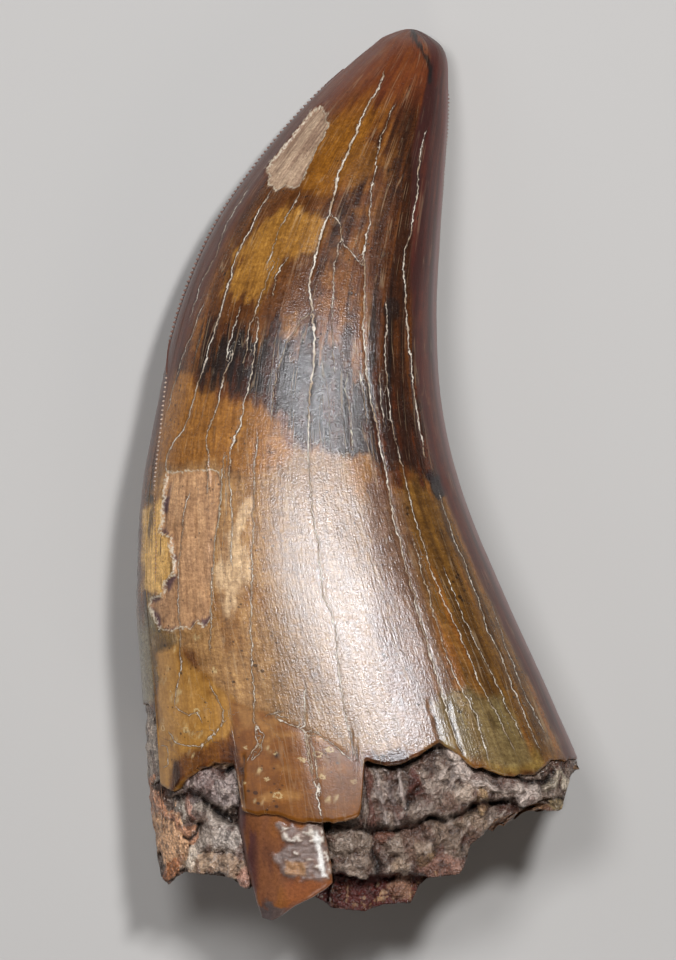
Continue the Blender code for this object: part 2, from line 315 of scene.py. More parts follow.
# Tan ground of the lower front, with paler and darker patches.
orange_tan = (-22.5, 12.4, -20.8, 11.9, -18.6, 9.9, -15.8, 8.6, -13.2, 8.6, -10.5, 7.4, -8.9, 3.9, -6, 0, -11,
    -1.2, -15, 0.2, -24.2, 0.6, -25, 4, -24.2, 8.4)
stain("#a06a2c", zone(orange_tan, 1.2))
tan = (-24.2, 0.6, -17.6, 1.1, -14.5, -0.9, -10.1, 0.1, -7, 2.6, -1.4, 2, 2.5, -3.6, 4, -16, 4.5, -28, 9.5,
    -29, 10, -34.5, -1.2, -35, -7, -32.4, -13.2, -30.1, -17.6, -27.4, -20.1, -22.4, -24.5, -21.1, -25.8, -16,
    -25.8, -4)
stain("#ad8250", zone(tan, 1.6))
for patch in (
    (-15.6, -4.6, -13.1, -3.6, -13.4, -6.1, -14.5, -7.4, -15.5, -6.9),
    (-16.8, -11.1, -16.8, -8, -15.5, -7, -14.5, -7.4, -13.8, -10.1, -13.4, -13, -14.1, -15.1, -18, -14.9,
     -17.8, -12.4),
    (-16.9, -16, -15.3, -16, -15.3, -18.4, -16.4, -18.6),
):
    stain("#e0bd90", 0.85 * zone(patch, 0.5, 0.3, 0.7))
for patch in (
    (-17.1, -8.6, -16.2, -7.1, -15.6, -9.2, -15.9, -11.4, -16.9, -10.6),
    (-18.1, -15, -16.9, -15, -16.9, -19, -18.1, -19.1),
    (-16.5, -18.3, -14.4, -17, -14.4, -22.6, -16.5, -22.4),
    (-14.8, -14.9, -11.5, -14.6, -11.5, -17.5, -13, -16.4),
    (-14.2, 7.4, -12.9, 6.9, -13.4, 0.4, -15, 2.4),
):
    stain("#8f5f28", 0.7 * zone(patch, 0.8, 0.9, 0.5))
stain("#96642c", zone(tan, 2.0) * ease(1.5 * strands - 0.35) * 0.5)
ground *= (1 - 0.34 * ease((stain_x + 14) / 6) * zone(tan, 3.0))[..., None]
honey_strip = (-26.8, -4.9, -24.4, -3.6, -23.4, -8.5, -23.2, -12.5, -24.4, -15.2, -26.8, -15)
stain("#efbd6c", zone(honey_strip, 0.6, 0.3, 0.2))
stain("#3a2410", zone(honey_strip, 0.6) * ease(3.0 * fingers - 1) * 0.8)
green_grey = (-26.6, -15.4, -24.3, -15.6, -24.2, -20, -26, -21)
stain("#857b5c", 0.7 * zone(green_grey, 0.6))
ticks = np.sin(stain_y * 17) * ease((0.3 - abs(stain_x + 24.55)) / 0.15)
stain("#3a2612", ease(ticks * 2) * ease((1.3 - abs(stain_y + 9.3)) / 0.3) * outer_side)
olive_mottle = (-26.5, -19.5, -22.6, -19.8, -22, -24, -25.6, -28.5, -26.2, -24)
stain("#6f5424", 0.8 * zone(olive_mottle, 1.0))

# Olive-brown ground of the lower rear, streaked orange.
under_highlight = (1, 0, 5.5, -3, 9, -16, 12.5, -30, 11, -34, 6, -34.5, 2, -20)
lower_rear = (4, -4, 8, 0, 13, -4, 20, -18, 27.5, -35, 18, -38, 10, -34, 9.8, -28, 6, -22, 3.6, -12)
stain("#77521f", 0.9 * zone(lower_rear, 2.4))
stain("#9a5f22", zone(lower_rear, 2.0) * ease(1.8 * strands + 0.1) * 0.75)
stain("#4a3014", zone(lower_rear, 2.0) * ease(-1.8 * strands - 0.2) * 0.7)
stain("#74523a", 0.85 * zone(under_highlight, 2.2))
olive_patch = (9.5, -28.6, 14.2, -27.4, 18, -28.6, 21.8, -33.6, 23, -36.8, 18, -37.5, 11, -34.5)
stain("#7a6a44", 0.8 * zone(olive_patch, 1.4))
stain("#94793a", ease(0.5 + (0.55 - abs(inside(stain_at, olive_patch)) + 0.5 * mottle) / 0.7)
               * ease((-34.0 - stain_y) / 1.5) * ease((stain_x - 15) / 3) * 0.6)

# The black-brown manganese band that crosses the tooth, frayed into lengthwise fingers along its upper side.
band = (-20.8, 12.4, -20.2, 14.5, -19.1, 16.4, -18.1, 18.1, -15.9, 18.9, -14.1, 17.6, -12.4, 16.9, -10.5,
    17.9, -9, 16.6, -7, 18.1, -5.4, 17.6, -3.8, 14.9, -1.4, 12.9, 0.8, 11.4, 3.6, 10.8, 6, 9.9, 7.8, 7.6, 9,
    3.9, 10.2, 0.1, 10.5, -1.4, 8, -0.9, 5.2, -0.1, 2.8, 1.1, 1.5, 2.4, -1.4, 2.4, -3.9, 3.9, -7, 4.5, -9.1,
    6.4, -11, 9.1, -13.9, 9.1, -16.9, 9.5, -18.6, 10.4, -19.9, 11.2)
band_depth = inside(stain_at, band)
upper_side = ease((stain_y - 9 + 0.35 * np.maximum(stain_x, 0)) / 5)
fringe = fractal(wrap * np.array((1, 1, 0.05)), 0.7, 3, 131)
band_fray = fringe * (0.9 + 3.2 * upper_side) + mottle * 1.1 + clouds * 0.8 * (1 - upper_side)
band_weight = ease(0.5 + (band_depth - 0.5 * upper_side + band_fray) / 1.5)
stain("#1c120c", band_weight * 0.95)
rusty = ease((stain_x + 1) / 5)
stain("#3a1c0c", band_weight * rusty * 0.75)
stain("#5c2c10", band_weight * ease(1.6 * fringe + 1.1 * mottle - 0.3 + 0.3 * rusty) * (0.4 + 0.4 * rusty))
amber_finger = (-9.1, 19.5, -7.4, 19.9, -7.4, 17.8, -8.2, 16.1, -9, 16.6)
stain("#94601f", zone(amber_finger, 0.7, 0.6))
below_band_amber = (-1, 2, 1.8, 2.2, 1.9, 0, 1.2, -4, -0.8, -3)
stain("#a06c26", 0.8 * zone(below_band_amber, 0.9))

# Smooth amber enamel without growth lines near the break, like resin, with pale rings and dots.
resin_front = (-25.1, -22.6, -22.6, -21.8, -20.8, -24.6, -18.9, -25.6, -17.6, -26.8, -15.5, -28.6, -15, -30.5,
    -16.4, -33, -18.9, -34.2, -20.8, -34.9, -23, -36.1, -23.5, -41, -25.5, -41, -24.8, -31.1)
resin_rear = (-15.5, -28.9, -11.8, -30.1, -7, -32.1, -3.9, -33, -1.4, -35.1, 0.5, -38, 1.2, -42.5, -0.8,
    -44.5, -14.5, -44, -14, -37.4, -15, -33.6)
resin = np.maximum(zone(resin_front, 0.7, 0.2, 0.4), zone(resin_rear, 0.7, 0.2, 0.3))
stain("#ba873f", zone(resin_front, 0.7, 0.2, 0.4))
stain("#87521a", zone(resin_rear, 0.7, 0.2, 0.3))
stain("#75450f", resin * ease(1.6 * clouds + 1.2 * mottle) * 0.7)
stain("#c08f50", resin * ease(-1.6 * clouds - 1.4 * mottle - 0.3) * 0.5)
bubbly = fractal(wrap, 0.9, 2, 141)
for x, y, size in np.reshape((
    -20.9, -31.9, 0.85, -22.9, -28.4, 0.5, -22.4, -27.6, 0.4, -21.3, -26.3, 0.55, -21, -27.8, 0.35, -19.3,
    -33, 0.45, -17.7, -24.9, 0.2, -19.9, -20.6, 0.5, -22.6, -22.3, 0.3, -22.9, -33.6, 0.6, -20.6, -35.3, 0.5,
    -12.7, -37.8, 0.3, -11.9, -37.6, 0.45, -12.2, -41.1, 0.6, -3.4, -41.1, 0.35, -2.4, -40.9, 0.35, -11,
    -34.9, 0.3, -23.9, -24.8, 0.3, -24.2, -26.2, 0.35,
), (-1, 3)):
    lean = np.sin(37 * x + 11 * y)
    bubble_x, bubble_y = stain_x - x, stain_y - y
    bubble_x = bubble_x + 0.5 * lean * bubble_y + 0.35 * size * clouds + 0.3 * size * bubbly
    away = np.hypot(bubble_x, bubble_y * (1.0 - 0.25 * lean)) + 0.35 * size * mottle
    ring = ease(1 - abs(away - size * 0.8) / 0.17) * ease(0.7 + 0.9 * bubbly) * outer_side
    stain("#dcc590", ring * 0.75)
    stain("#8a5a20", ease((size * 0.7 - away) / 0.2) * outer_side * 0.4)

# Small dark stains and pits: manganese specks, the black pit under the rear crack, the tip's black thread.
for x, y, size, colour in (
    (10.5, -1.8, 1.25, "#120a0e"), (11, -0.4, 0.7, "#1a0e12"), (9.3, -0.6, 0.8, "#1a0e12"),
    (-25.9, -3.4, 0.8, "#3b2c1c"), (-25.7, -2, 0.6, "#3b2c1c"), (8.6, 44, 0.5, "#150d0b"),
    (-5.1, -25.6, 0.28, "#3a1d12"), (-11.2, -28.7, 0.22, "#2a1710"), (-9.9, -35.4, 0.55, "#2b1c18"),
    (4.6, 20, 1.2, "#23130b"), (3.4, 27, 0.5, "#2a1710"), (4.1, 37.6, 0.45, "#1f140c"),
    (-9.6, 37, 0.4, "#2a1710"), (5.2, 35, 0.6, "#2a1710"),
):
    away = np.hypot(stain_x - x, (stain_y - y) * 0.8) + 0.35 * mottle * size
    stain(colour, ease((size - away) / 0.4) * outer_side * 0.9)

# Mauve-brown of the steep rear face and along the front edge, where growth lines are too fine to see: partly
# the enamel's own colour, partly a painted pinkish reflection on these steeply turned faces.
middle_x, middle_y, half_x = STEP_VALUES[:, :3].T
across_rear = np.interp(seen_y, middle_y, middle_x + half_x) - seen_x
across_front = seen_x - np.interp(seen_y, middle_y + 0.5, middle_x - half_x)
rear_width = np.interp(seen_y, (-36, -16, 0, 18, 40, 52), (1.4, 2.0, 2.3, 2.9, 4.2, 2.4))
rear_mauve_and_reflection = ease((rear_width - across_rear) / 0.7 + 0.5 + 0.3 * mottle)
rear_mauve_and_reflection *= 1 - 0.85 * ease((0.06 - np.sin(crown_angle) + 0.3 * clouds + 0.2 * strands) / 0.5)
stain("#4c180e", rear_mauve_and_reflection * 0.95)
stain("#2c0e0a", rear_mauve_and_reflection * ease(0.2 + clouds + 1.4 * strands) * 0.6)
stain("#6a3018", rear_mauve_and_reflection * ease(-1.6 * strands - 0.9 * mottle - 0.2) * 0.5)
# A painted pink reflection along the rear silhouette.
stain("#8f4238", ease((0.55 - across_rear) / 0.6 + 0.3) * 0.6)
# The front edge's band: partly its own dark red-brown, partly a painted pinkish reflection.
front_width = np.interp(seen_y, (-30, -10, 5, 20, 35, 50), (0.1, 0.2, 1.2, 2.8, 2.6, 2.2))
stain("#55200c", ease((front_width - across_front) / 1.6 + 0.4) * 0.85)
tip_cap = ease((seen_y - 43 + 1.5 * clouds) / 6) * (1 - rear_mauve_and_reflection)
stain("#74340f", tip_cap * 0.75)
thread_line = (7.1, 55.2, 7.4, 53.9, 8.3, 52.6, 9.1, 51, 9.4, 48.9)
tip_thread, _ = along(stain_at + 0.25 * mottle[..., None], thread_line)
stain("#120c0b", ease((0.42 - abs(tip_thread)) / 0.3) * outer_side * 0.9)
left_strip = ease(seen_y + 29.5) * ease((-17 - seen_y) / 4) * ease((1.6 - across_front) / 0.6)
stain("#8e8568", left_strip * outer_side * 0.8)

# The window of bare dentine near the tip and the tall one above the break, where enamel has flaked off.
upper_window = (-4.5, 45.6, -3.6, 44.9, -4, 44.1, -3.5, 43.5, -4.2, 42, -5.5, 39.5, -6.5, 37, -7.4, 35.6,
    -8.9, 35.8, -10, 35.1, -10.5, 35.9, -11, 36, -10.7, 36.9, -11.4, 37.9, -8.9, 40.8, -7, 43.2, -5.5, 45.1)
tall_window = (-23.8, -0.1, -17.1, 0.2, -16.8, -2.4, -17.4, -6.8, -17.9, -11.1, -18.1, -14.2, -18.2, -18.4,
    -19, -19.4, -19.9, -18.6, -20.8, -19.5, -22.2, -19.6, -23.5, -20.1, -24.8, -19.6, -26.2, -16.6, -25.5,
    -15.9, -24.5, -15.6, -23.8, -13.6, -22.9, -12.8, -22.9, -11.4, -23.4, -9.8, -23.4, -8.4, -24.5, -7.6,
    -24.2, -4.2, -24, -2)
chip = 0.16 * mottle + 0.10 * fractal(crown, 0.6, 2, 91)
window = np.maximum(inside(crown_seen, upper_window), inside(crown_seen, tall_window)) + chip
window = np.where(outer_half, window, -9.0)
tall = ease((10 - seen_y) / 4)
bare = ease((window + 0.1) / 0.2)
stain("#c2a589", bare * (1 - tall))
stain("#8f6f58", bare * (1 - tall) * ease(1.8 * fingers) * 0.75)
stain("#c6976a", bare * tall)
stain("#9c6e42", bare * tall * ease(1.8 * fingers - 0.2) * 0.5)
stain("#c49a74", bare * tall * ease(1.4 * clouds) * 0.5)
purple_side = ease(-22.0 - seen_x) * ease((-1 - seen_y) / 1.5)
purple_foot = ease((-17.6 - seen_y) / 0.8) + 0.5 * ease((seen_x + 17.8) / 0.6) * (seen_y > -9)
purple = ease((0.75 - window + 0.5 * mottle) / 0.4) * bare * tall * np.clip(purple_side + purple_foot, 0, 1)
stain("#3a1c38", purple * ease(0.9 + 1.6 * fractal(crown, 1.1, 2, 95)) * 0.85)

# Cracks seen in the photograph: width in millimetres, then x, y points from the tip's side down.
CRACKS = (
    (0.56, 3.5, 50.1, 2.8, 48.1, 2, 46.8, 1.1, 44.8, 0.6, 43.9, -0.6, 41.2, -1, 40, -2.2, 37.4, -2.5, 35.9,
        -3, 34, -3.2, 32.4, -4.1, 30.8, -4.4, 28.9, -4.9, 27, -5.6, 24.8, -5.8, 22.8, -5.4, 20, -5.2, 14.4,
        -5.8, 9.6, -5.9, 3.1),
    (0.26, -5.8, 9.6, -5.9, 0.1, -5.5, -5.2, -4.8, -8.6, -4, -15.6, -2.8, -19.2, -1.9, -27.4, -1, -32, 0,
        -35.8),
    (0.14, -3.2, 32.4, -1.9, 31.1, -1.9, 29, -2.8, 25.8, -3, 19, -2.8, 12.4),
    (0.12, -1.9, 29.2, -1.1, 28, 0.1, 26.6, 1, 25.5),
    (0.12, 5, 46, 4.2, 44.9, 3.9, 43.4, 3.1, 42, 2.8, 40.5, 2.6, 39, 2.2, 36.9, 1.8, 35.1, 1.8, 33.4),
    (0.34, 1.8, 33.4, 1.8, 31.6, 1, 27.8, 1.1, 23.2, 1, 18.1, 1.2, 13.4, 2, 8.4, 3.5, 1, 4.9, -6.1, 6.2,
        -11.5, 7.9, -18, 9, -21.8, 10.5, -26.6, 12.2, -32.4, 13.1, -34.9),
    (0.32, 8.9, 42.6, 8.2, 40.6, 7.8, 35.6, 7, 29.9, 6.1, 27.6, 6.1, 24.5, 6.4, 19, 7, 13.6, 7.5, 8.6, 8.5,
        2.8, 8.8, 1.8),
    (0.20, 3.8, 22, 3.9, 19, 3.6, 14.5, 4, 10.1, 4.5, 5.9, 6, 0.1, 6.8, -3.9, 8, -7.5, 9.1, -11.2, 10.6,
        -15.2, 12, -18.2, 13.6, -21.8, 15.2, -25.6, 16.8, -29, 18, -30.9, 19.8, -34.9),
    (0.20, 7.2, -8.5, 8.1, -11.5, 8.4, -13.4, 9.1, -14.9, 9.4, -16.8, 10.4, -19.9, 11.4, -23.1, 12.4, -25.5,
        13.4, -27.5, 14.9, -30, 16.5, -36),
    (0.20, 10.5, -2.6, 12.5, -8.8, 13.9, -11.8, 15.4, -16.2, 16.5, -19.8, 18, -22.6, 20.2, -28.4, 22.9,
        -34.6),
    (0.11, 10.9, -11.8, 12.9, -16.6, 14.5, -20.6, 16.9, -24.9, 18.6, -28.9, 21.1, -33.8),
    (0.11, 16.9, -16, 18.6, -21.1, 21.4, -28.4, 24.2, -33.5),
    (0.14, -7, 35, -8, 33.1, -9.6, 30.2, -10.4, 27.8, -11.2, 25.8),
    (0.17, -10.4, 25.8, -11.9, 22, -12.6, 19.8, -13.4, 17.8, -14, 13.4),
    (0.12, -8.5, 26.8, -9.8, 24.8, -10.5, 22),
    (0.34, -10.6, 35.1, -11.5, 33.9, -12.4, 31.9, -13.9, 29.2, -15.1, 26.8, -16, 23.5, -17.1, 20, -18.1, 16.6,
        -18.8, 14.1, -20.8, 7.6, -21.5, 5.1, -22.6, 4.2, -23.5, 2.2, -23.8, 0.1),
    (0.16, -13.1, 35.8, -14.9, 33.1, -16.4, 30.6, -17.4, 27.2, -19.1, 24.2, -21, 18.8),
    (0.13, -14.5, 20.5, -15.1, 18.5, -15.9, 16.1, -16.2, 14.1),
    (0.19, -19, 21, -20.6, 17.1, -21.8, 14.1, -22.8, 10.9, -23.6, 7.6),
    (0.24, -12.2, 19, -12.4, 16.6, -13.4, 10.9, -14.1, 8.1, -14.8, 5.2, -15.6, 2.6, -15.9, -0.5, -15.5, -6.9,
        -15.6, -11.5),
    (0.20, -15.4, 15.4, -16.2, 12.6, -17.1, 9.6, -18.8, 4.2, -18.6, 2.2, -18.9, -3),
    (0.18, -5.5, 19.9, -6.8, 19, -7.6, 17.5, -8.8, 15.9, -9.4, 13.6, -10.1, 11.9, -10.4, 9.4, -10.6, 6.4),
    (0.12, -0.8, 12.6, -1.4, 10.4, -0.6, 7.1, -0.4, 2.4),
    (0.13, 0.5, 12.6, 1, 9.1, 1.4, 5.9),
    (0.14, 2.9, 12.4, 3.2, 8.6, 3.6, 5.5),
    (0.14, -21, -2.5, -21.8, -4.6, -22.1, -8.6, -22.5, -12.2, -22.5, -18.1, -21.9, -21, -22, -24.2, -22.9,
        -29.5),
    (0.24, -16.6, 1.9, -17, -1.9, -17.1, -4.4, -17.8, -8.2, -18.2, -15.6, -18.2, -22.4),
    (0.15, -12.4, 5.1, -12.8, -1.5, -12.9, -9.4, -13.2, -16.4, -13, -24.8, -12.5, -34.4, -13.8, -36.4),
    (0.20, -18.2, -26.8, -17.2, -28.8, -16.6, -30, -17, -31.8, -18.2, -33.5, -19.2, -34.5),
    (0.30, -6.4, -27, -6.5, -32, -6.1, -34.9, -5.5, -37.9, -4.9, -40.4, -4.4, -42.9),
    (0.18, -6, -32.5, -5.1, -36.6, -4.5, -40.1),
    (0.16, -11.1, -30.5, -9.1, -29.9),
    (0.12, -23.6, -32.4, -22.8, -33.9, -20.9, -34.3, -19.6, -34.4, -18, -33.3, -16.4, -31),
    (0.34, -19.1, -34, -17.8, -32.8),
    (0.12, -24.5, -34.3, -23.6, -34.4, -23.5, -36.8, -24.2, -37),
    (0.12, -22.6, -29.6, -21, -30.6, -19.9, -30, -19.4, -31.4),
    (0.10, -12.6, -31.6, -11.6, -33, -11.9, -35, -13.2, -36.2),
    (0.15, -9.9, -31, -6.6, -32.2, -4.6, -32.8, -2.1, -34.9, -0.5, -36.1),
)
crack, crack_width = np.full(crown_at.shape, 9.0), np.zeros(crown_at.shape)
jitter = np.stack((fractal(crown, 1.4, 3, 101), 0 * crown_at), axis=-1) * 0.16
for width, *line in CRACKS:
    away, share_along = along(crown_seen + jitter, line)
    away = np.where(outer_half, away, 9.0)
    taper = width * ease(0.35 + 8 * np.minimum(share_along, 1 - share_along))
    closer = abs(away) < abs(crack)
    crack, crack_width = np.where(closer, away, crack), np.where(closer, taper, crack_width)

facing = np.clip(abs(grid_normals(crown)[..., 2]), 0.3, 1)
crack = np.where(abs(crack) < 8, crack / facing, crack)

# Cracks on the faces that the photograph doesn't show: lengthwise lines that wander with slow noise.
HIDDEN_CRACKS = 26
chance = np.random.default_rng(7)
section = section_values(crown_at)
arc_radius = np.hypot(section[..., 2] * np.sin(crown_angle), section[..., 5] * np.cos(crown_angle))
for number in range(HIDDEN_CRACKS):
    start_angle = np.pi * (1.03 + 0.97 * (number + 0.8 * chance.random()) / HIDDEN_CRACKS)
    low, high = np.sort(chance.uniform(14, 112, 2))
    width = chance.choice((0.12, 0.16, 0.24))
    wander = fractal(np.stack((0 * length + 40 * number, length, 0 * length), axis=-1), 14.0, 4, 111)
    away = (crown_angle - start_angle - 0.07 * wander) * arc_radius
    taper = width * ease((length - low) / 4) * ease((high - length) / 4)
    away = np.where((taper > 0) & (abs(away) < 3), away, 9.0)
    closer = abs(away) < abs(crack)
    crack, crack_width = np.where(closer, away, crack), np.where(closer, taper, crack_width)

# Open joints between plates of enamel: nothing fills them, so the shade inside them is painted dark.
joints = np.full(crown_at.shape, 9.0)
for line in ((9.3, -28.6, 9.7, -30.6, 10.7, -33.8), (11.5, -28.9, 12.3, -32, 13.2, -35.2),
             (0.2, -35.6, -0.6, -33), (-14.1, -35.6, -14.3, -38, -14.2, -41.8)):
    away, _ = along(crown_seen + jitter, line)
    joints = np.minimum(joints, np.where(outer_half, abs(away), 9.0))
stain("#1f120a", ease(1 - joints / 0.24) * 0.85)

ground = ground * 0.82

# Relief: grooves along the cracks, the windows' floors, pits, and gentle swells along the tooth. The crown is
# drawn in where the front keel stands on it.
WINDOW_DEPTH, GROOVE_DEPTH, SWELL, FLOOR_RIB, PIT_DEPTH, KEEL_ROOM = 0.32, 0.16, 0.07, 0.05, 0.10, 0.30
normals = grid_normals(crown)
drawn_in = (
    WINDOW_DEPTH * ease((window + 0.1) / 0.35)
    + GROOVE_DEPTH * (crack_width * ease(1 - abs(crack) / 0.4) + ease(1 - joints / 0.3))
    + SWELL * (1 + fractal(wrap * np.array((1, 1, 0.3)), 5.0, 2, 121)) * ease(share * 12)
    + FLOOR_RIB * (1 + fingers) * bare
    + PIT_DEPTH * ease((1.3 - np.hypot(seen_x - 10.7, seen_y + 1.8)) / 0.8) * outer_side
    + KEEL_ROOM * np.exp(-((crown_angle - np.pi) / 0.10) ** 2) * ease((length - 40) / 10)
)
crown = crown - normals * drawn_in[..., None]
HIGHEST, FURTHEST = 34.0, 55.68
crown[..., 1] = np.minimum(crown[..., 1], FURTHEST)
crown[..., 2] = np.clip(crown[..., 2], 0, HIGHEST)

# The lip: the enamel's broken edge is rounded, turns in over its thickness and closes inside the tooth.
lip = [
    wall(angles[None, :], at[None, :], inset)
    for at, inset in (
        (np.minimum(edge + 0.25, TIP), LIP_DEPTH), (edge, ENAMEL_THICKNESS),
        (np.maximum(edge - 0.012, 0), 0.35 * ENAMEL_THICKNESS),
    )
]
rings = np.concatenate((*lip, crown))
inner_pole = rings[0].mean(0)
tip_pole = np.minimum(wall(np.array(0.0), np.array(float(TIP))), FURTHEST)
# The front edge's band, partly painted reflection, and the tip cap: a calmer tone and a satin gloss there.
mauve_and_reflection = np.maximum(0.6 * ease((front_width - across_front) / 1.6 + 0.4), 0.75 * tip_cap)


def over_lip(values):
    """The crown's values with its first row said again for each row of the lip."""
    return np.concatenate((np.repeat(values[:1], len(lip), axis=0), values))


lip_ground = paint(np.repeat(ground[:1], len(lip), axis=0), ("#a8741f", np.full(edge.shape, 0.55)))
crown_piece = solid_of_rings(
    "enamel_crown", rings, inner_pole, tip_pole,
    {
        "ground": np.concatenate((lip_ground, ground)),
        "wrap": over_lip(wrap),
        "crack": over_lip(crack),
        "crack_width": over_lip(crack_width),
        "window": over_lip(window),
        "resin": over_lip(resin),
        "mauve_and_reflection": over_lip(np.maximum(rear_mauve_and_reflection, mauve_and_reflection)),
    },
)


def add(kind, links=None, output=0, **settings):
    """Adds a node to the tree in hand, with its settings, and gives its first output or another one. Links
    gives its inputs: another node's output, or a plain value."""
    node = tree.nodes.new("ShaderNode" + kind)
    for name, value in settings.items():
        setattr(node, name, value)
    for name, value in (links or {}).items():
        if isinstance(value, bpy.types.NodeSocket):
            tree.links.new(value, node.inputs[name])
        else:
            node.inputs[name].default_value = value
    return node.outputs[output]


def new_material(name, ior):
    """A node material with its tree and its shader's sockets, and its refraction set."""
    material = bpy.data.materials.new(name)
    material.use_nodes = True
    sockets = material.node_tree.nodes["Principled BSDF"].inputs
    sockets["IOR"].default_value = ior
    return material, material.node_tree, sockets


def rgba(colour):
    """An sRGB hex colour as the linear colour and alpha that a socket takes."""
    return (*linear(colour), 1.0)


# Fossil enamel, polished by handling: a glassy mineral (IOR about 1.6) whose fine grain and lengthwise
# wrinkles break a highlight into sparkle. Cracks are filled with pale calcite. The real grain is finer than
# these sizes and is drawn as coarse as it needs to show.
GRAIN_MM, WRINKLE_MM, GROWTH_LINE_MM, CRACK_GRAIN_MM = 0.22, 0.20, 0.40, 0.35
enamel, tree, shader = new_material("polished_fossil_enamel", 1.6)
ground_of = add("Attribute", output="Color", attribute_name="ground")
wrap_of = add("Attribute", output="Vector", attribute_name="wrap")
crack_of, width_of, window_of, resin_of, mauve_and_reflection_of = (
    add("Attribute", output="Fac", attribute_name=name)
    for name in ("crack", "crack_width", "window", "resin", "mauve_and_reflection")
)
object_of = add("TexCoord", output="Object")

# Streaks, growth lines, blotches and a fine tone, each with its stretch, size in millimetres, detail,
# roughness, distortion, and the lightness of its darkest and of its palest parts.
noises, tone = [], 1.0
for stretch, size, detail, rough, distortion, darkest, palest in (
    ((1, 1, 0.10), 0.5, 6, 0.7, 0, 0.60, 1.36),
    ((0.26, 0.26, 1), GROWTH_LINE_MM, 4, 0.5, 0.6, 0.80, 1.16),
    ((1, 1, 1), 1.5, 8, 0.75, 0, 0.66, 1.30),
    ((1, 1, 1), 0.34, 3, 0.7, 0, 0.66, 1.30),
):
    stretched = add("VectorMath", {0: wrap_of, 1: stretch}, operation="MULTIPLY")
    links = {"Vector": stretched, "Scale": 1 / size, "Detail": detail, "Roughness": rough}
    noises.append(add("TexNoise", {**links, "Distortion": distortion}))
    lightness = add("MapRange", {"Value": noises[-1], 1: 0.3, 2: 0.7, 3: darkest, 4: palest})
    tone = add("Math", {0: tone, 1: lightness}, operation="MULTIPLY")
blotches, fine = noises[2:]
plain = add("Math", {0: resin_of, 1: mauve_and_reflection_of}, operation="MAXIMUM")
calm_tone = add("MapRange", {"Value": plain, 4: 0.45})
tone = add("Mix", {0: calm_tone, 2: tone, 3: 0.98})
warm_tone = add("MapRange", {"Value": tone, 1: 0.4, 2: 1.7})
warmth = add("MixRGB", {"Fac": warm_tone, "Color1": (1.06, 0.94, 0.84, 1), "Color2": (0.97, 1.03, 1.06, 1)})
toned = add("VectorMath", {0: ground_of, "Scale": tone}, operation="SCALE")
toned = add("VectorMath", {0: toned, 1: warmth}, operation="MULTIPLY")

# Pale rings and dots in the resin-like enamel, as if it had bubbled, in some cells of a Voronoi pattern.
bubbles = add("TexVoronoi", {"Vector": wrap_of, "Scale": 1 / 1.5, "Randomness": 1})
bubble_edge = add("Math", {0: fine, 1: 0.60, 2: -0.52}, operation="MULTIPLY_ADD")
bubble_edge = add("Math", {0: bubbles, 1: bubble_edge}, operation="ADD")
bubble_edge = add("Math", {0: bubble_edge}, operation="ABSOLUTE")
bubble_ring = add("MapRange", {"Value": bubble_edge, 1: 0.02, 2: 0.08, 3: 0.55, 4: 0})
chosen = add("MapRange", {"Value": bubbles.node.outputs["Color"], 1: 0.64, 2: 0.68})
in_resin = add("MapRange", {"Value": resin_of, 1: 0.7})
chosen = add("Math", {0: chosen, 1: in_resin}, operation="MULTIPLY")
bubble_ring = add("Math", {0: bubble_ring, 1: chosen}, operation="MULTIPLY")

# Dark specks of manganese, a third of a millimetre across, in loose groups.
speck = add("TexVoronoi", {"Vector": wrap_of, "Scale": 1 / 0.8, "Randomness": 1})
groups = add("TexNoise", {"Vector": wrap_of, "Scale": 1 / 3.5, "Detail": 3})
speck_size = add("MapRange", {"Value": groups, 1: 0.50, 2: 0.72, 3: 0.02, 4: 0.40})
speck_depth = add("Math", {0: speck_size, 1: speck}, operation="SUBTRACT")
speckled = add("MapRange", {"Value": speck_depth, 2: 0.12, 4: 0.7})

# Crack filling: full inside half the width, uneven along the line, gone where the line has faded out, and
# paler in some stretches than in others.
fill_noise = add("TexNoise", {"Vector": wrap_of, "Scale": 1 / CRACK_GRAIN_MM, "Detail": 2})
uneven = add("MapRange", {"Value": fill_noise, 1: 0.32, 2: 0.62, 3: -0.02, 4: 0.05})
wander = add("TexNoise", {"Vector": wrap_of, "Scale": 1 / 0.8, "Detail": 4, "Roughness": 0.62})
wander_mm = add("MapRange", {"Value": wander, 1: 0.3, 2: 0.7, 3: -0.16, 4: 0.16})
away_from = add("Math", {0: crack_of, 1: wander_mm}, operation="ADD")
away_from = add("Math", {0: away_from}, operation="ABSOLUTE")
half_width = add("Math", {0: width_of, 1: 0.15, 2: uneven}, operation="MULTIPLY_ADD")
within = add("Math", {0: half_width, 1: away_from}, operation="SUBTRACT")
has_crack = add("MapRange", {"Value": width_of, 1: 0.03, 2: 0.09})
filled = add("MapRange", {"Value": within, 1: -0.035, 2: 0.035}, interpolation_type="SMOOTHSTEP")
filled = add("Math", {0: filled, 1: has_crack}, operation="MULTIPLY")
# Painted shade: a dark margin just outside each crack's pale filling.
crack_side_painted_shade = add("MapRange", {"Value": within, 1: -0.24, 2: -0.03, 4: 0.45})
crack_side_painted_shade = add("Math", {0: crack_side_painted_shade, 1: has_crack}, operation="MULTIPLY")
fill_tone = add("MapRange", {"Value": groups, 1: 0.42, 2: 0.58})
filling = add("MixRGB", {"Fac": fill_tone, "Color1": rgba("#9c8468"), "Color2": rgba("#dcd1bf")})

